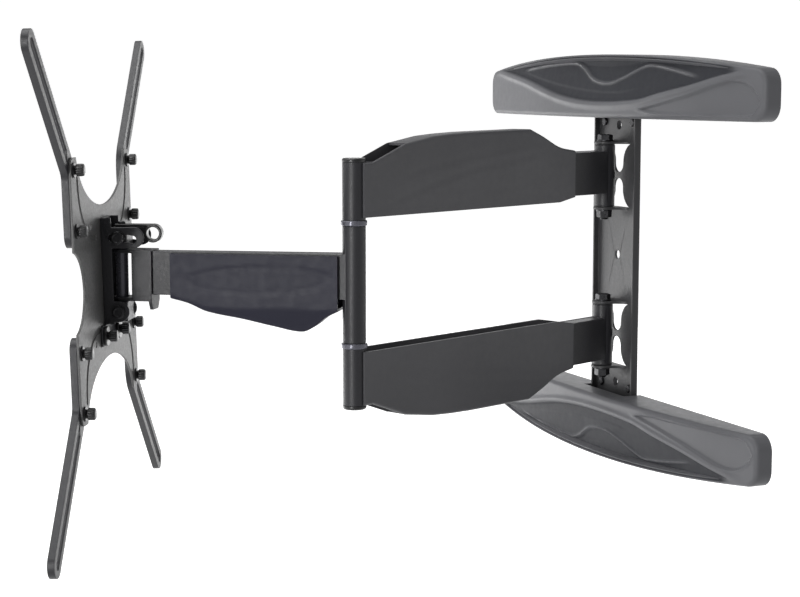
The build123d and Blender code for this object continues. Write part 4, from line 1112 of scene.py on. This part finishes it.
class MOUNT_OT_studio(bpy.types.Operator):
    """Set up the pale floor, the soft lights and the camera"""

    bl_idname = "mount.studio"
    bl_label = "Studio"

    def execute(self, context):
        scene = context.scene
        settings = scene.mount_studio
        low, high = cad_box
        self.backdrop(low.z - settings.floor_drop)
        self.lights((low + high) / 2)
        self.world(scene)
        self.camera(scene, settings)
        scene.view_settings.view_transform = "Standard"
        return {"FINISHED"}

    def backdrop(self, floor):
        """Round pale floor that sweeps up into a wall all round."""
        skin = Skin()
        outline = [(7.0, 0.0), (8.0, 0.12), (9.2, 0.7), (10.0, 1.8), (10.4, 3.2), (10.5, 9.0)]
        rings = []
        for radius, height in outline:
            turns = [2 * math.pi * k / 96 for k in range(96)]
            ring = [(radius * math.cos(t), radius * math.sin(t), height) for t in turns]
            rings.append(skin.row([(x / MM, y / MM, z / MM) for x, y, z in ring]))
        for one, two in zip(rings, rings[1:]):
            skin.bridge(one, two, closed=True)
        skin.cap(rings[0])
        sweep = make_piece("studio_floor", skin, Matrix.Translation((0, 0, floor)), crease=80)
        sweep.visible_glossy = False
        sweep.visible_diffuse = False
        sweep.visible_shadow = False
        paper = Finish("studio_paper", (0.86, 0.86, 0.86), 0.9, specular=0.0)
        paper.shader.inputs["Emission Color"].default_value = (1, 1, 1, 1)
        paper.shader.inputs["Emission Strength"].default_value = 0.72
        sweep.data.materials.append(paper.material)

    def lights(self, centre):
        """Soft boxes: direction from the mount, distance, width, height and radiance."""
        boxes = {
            "left_wall": ((-0.90, -0.36, -0.24), 3.2, 2.6, 1.2, 2.8),
            "front_left": ((-0.35, -0.93, 0.15), 3.2, 1.8, 2.2, 1.0),
            "overhead": ((-0.10, -0.30, 1.0), 2.8, 2.6, 2.2, 3.0),
            "highlight": ((0.66, -0.75, 0.10), 3.0, 0.30, 2.4, 20.0),
            "back_left": ((-0.80, 0.55, 0.0), 3.4, 1.6, 1.6, 1.6),
            "back_fill": ((0.35, 0.90, 0.30), 3.6, 1.6, 1.6, 0.8),
        }
        for name, (way, distance, width, height, radiance) in boxes.items():
            lamp = bpy.data.lights.new(name, "AREA")
            lamp.shape = "RECTANGLE"
            lamp.size, lamp.size_y = width, height
            lamp.energy = radiance * width * height * math.pi
            lamp_object = bpy.data.objects.new(name, lamp)
            away = Vector(way).normalized()
            lamp_object.location = centre + away * distance
            lamp_object.rotation_mode = "QUATERNION"
            lamp_object.rotation_quaternion = away.to_track_quat("Z", "Y")
            lamp_object.visible_camera = False
            bpy.context.scene.collection.objects.link(lamp_object)

    def world(self, scene):
        """Even light that is stronger from the left of the mount and from below its middle."""
        world = bpy.data.worlds.new("studio_light")
        world.use_nodes = True
        nodes, links = world.node_tree.nodes, world.node_tree.links
        place = nodes.new("ShaderNodeTexCoord")
        split = nodes.new("ShaderNodeSeparateXYZ")
        links.new(place.outputs["Generated"], split.inputs[0])
        both = nodes.new("ShaderNodeMath")
        both.operation = "MULTIPLY"
        spans = (("X", (-1.0, 1.0), (1.1, 0.25)), ("Z", (-0.16, 0.10), (1.5, 0.55)))
        for socket, (axis, reach, strength) in zip(both.inputs, spans):
            span = nodes.new("ShaderNodeMapRange")
            span.inputs["From Min"].default_value, span.inputs["From Max"].default_value = reach
            span.inputs["To Min"].default_value, span.inputs["To Max"].default_value = strength
            links.new(split.outputs[axis], span.inputs["Value"])
            links.new(span.outputs["Result"], socket)
        links.new(both.outputs[0], nodes["Background"].inputs["Strength"])
        nodes["Background"].inputs["Color"].default_value = (1, 1, 1, 1)
        scene.world = world

    def camera(self, scene, settings):
        turn, lift = math.radians(settings.azimuth), math.radians(settings.elevation)
        back = Vector((math.sin(turn) * math.cos(lift), -math.cos(turn) * math.cos(lift), math.sin(lift)))
        camera = bpy.data.objects.new("camera", bpy.data.cameras.new("camera"))
        camera.location = settings.camera_at
        camera.rotation_mode = "QUATERNION"
        camera.rotation_quaternion = (-back).to_track_quat("-Z", "Y")
        camera.data.lens = settings.lens
        camera.data.sensor_width = 36.0
        scene.collection.objects.link(camera)
        scene.camera = camera


STEPS = (
    MOUNT_OT_studio,
    MOUNT_OT_wall_covers,
    MOUNT_OT_arm_covers,
    MOUNT_OT_forearm_cover,
    MOUNT_OT_knobs,
    MOUNT_OT_hex_fasteners,
    MOUNT_OT_kept_parts,
)

SETTINGS = {
    "mount_wall_covers": WallCoverSettings,
    "mount_arm_covers": ArmCoverSettings,
    "mount_fasteners": FastenerSettings,
    "mount_finishes": FinishSettings,
    "mount_studio": StudioSettings,
}


class MOUNT_PT_panel(bpy.types.Panel):
    """Buttons that dress the wall mount, in the order they are used"""

    bl_idname = "MOUNT_PT_panel"
    bl_label = "Wall Mount"
    bl_space_type = "VIEW_3D"
    bl_region_type = "UI"
    bl_category = "Wall Mount"

    def draw(self, context):
        for step in STEPS:
            self.layout.operator(step.bl_idname)
        for group in SETTINGS:
            settings = getattr(context.scene, group)
            column = self.layout.column(align=True)
            for name in settings.bl_rna.properties.keys():
                if name not in ("rna_type", "name"):
                    column.prop(settings, name)


def register():
    for group, kind in SETTINGS.items():
        bpy.utils.register_class(kind)
        setattr(bpy.types.Scene, group, bpy.props.PointerProperty(type=kind))
    for kind in (*STEPS, MOUNT_PT_panel):
        bpy.utils.register_class(kind)


def unregister():
    for kind in reversed((*STEPS, MOUNT_PT_panel)):
        bpy.utils.unregister_class(kind)
    for group, kind in reversed(SETTINGS.items()):
        delattr(bpy.types.Scene, group)
        bpy.utils.unregister_class(kind)


def main():
    register()
    for step in STEPS:
        group, name = step.bl_idname.split(".")
        getattr(getattr(bpy.ops, group), name)()


if __name__ == "__main__":
    main()
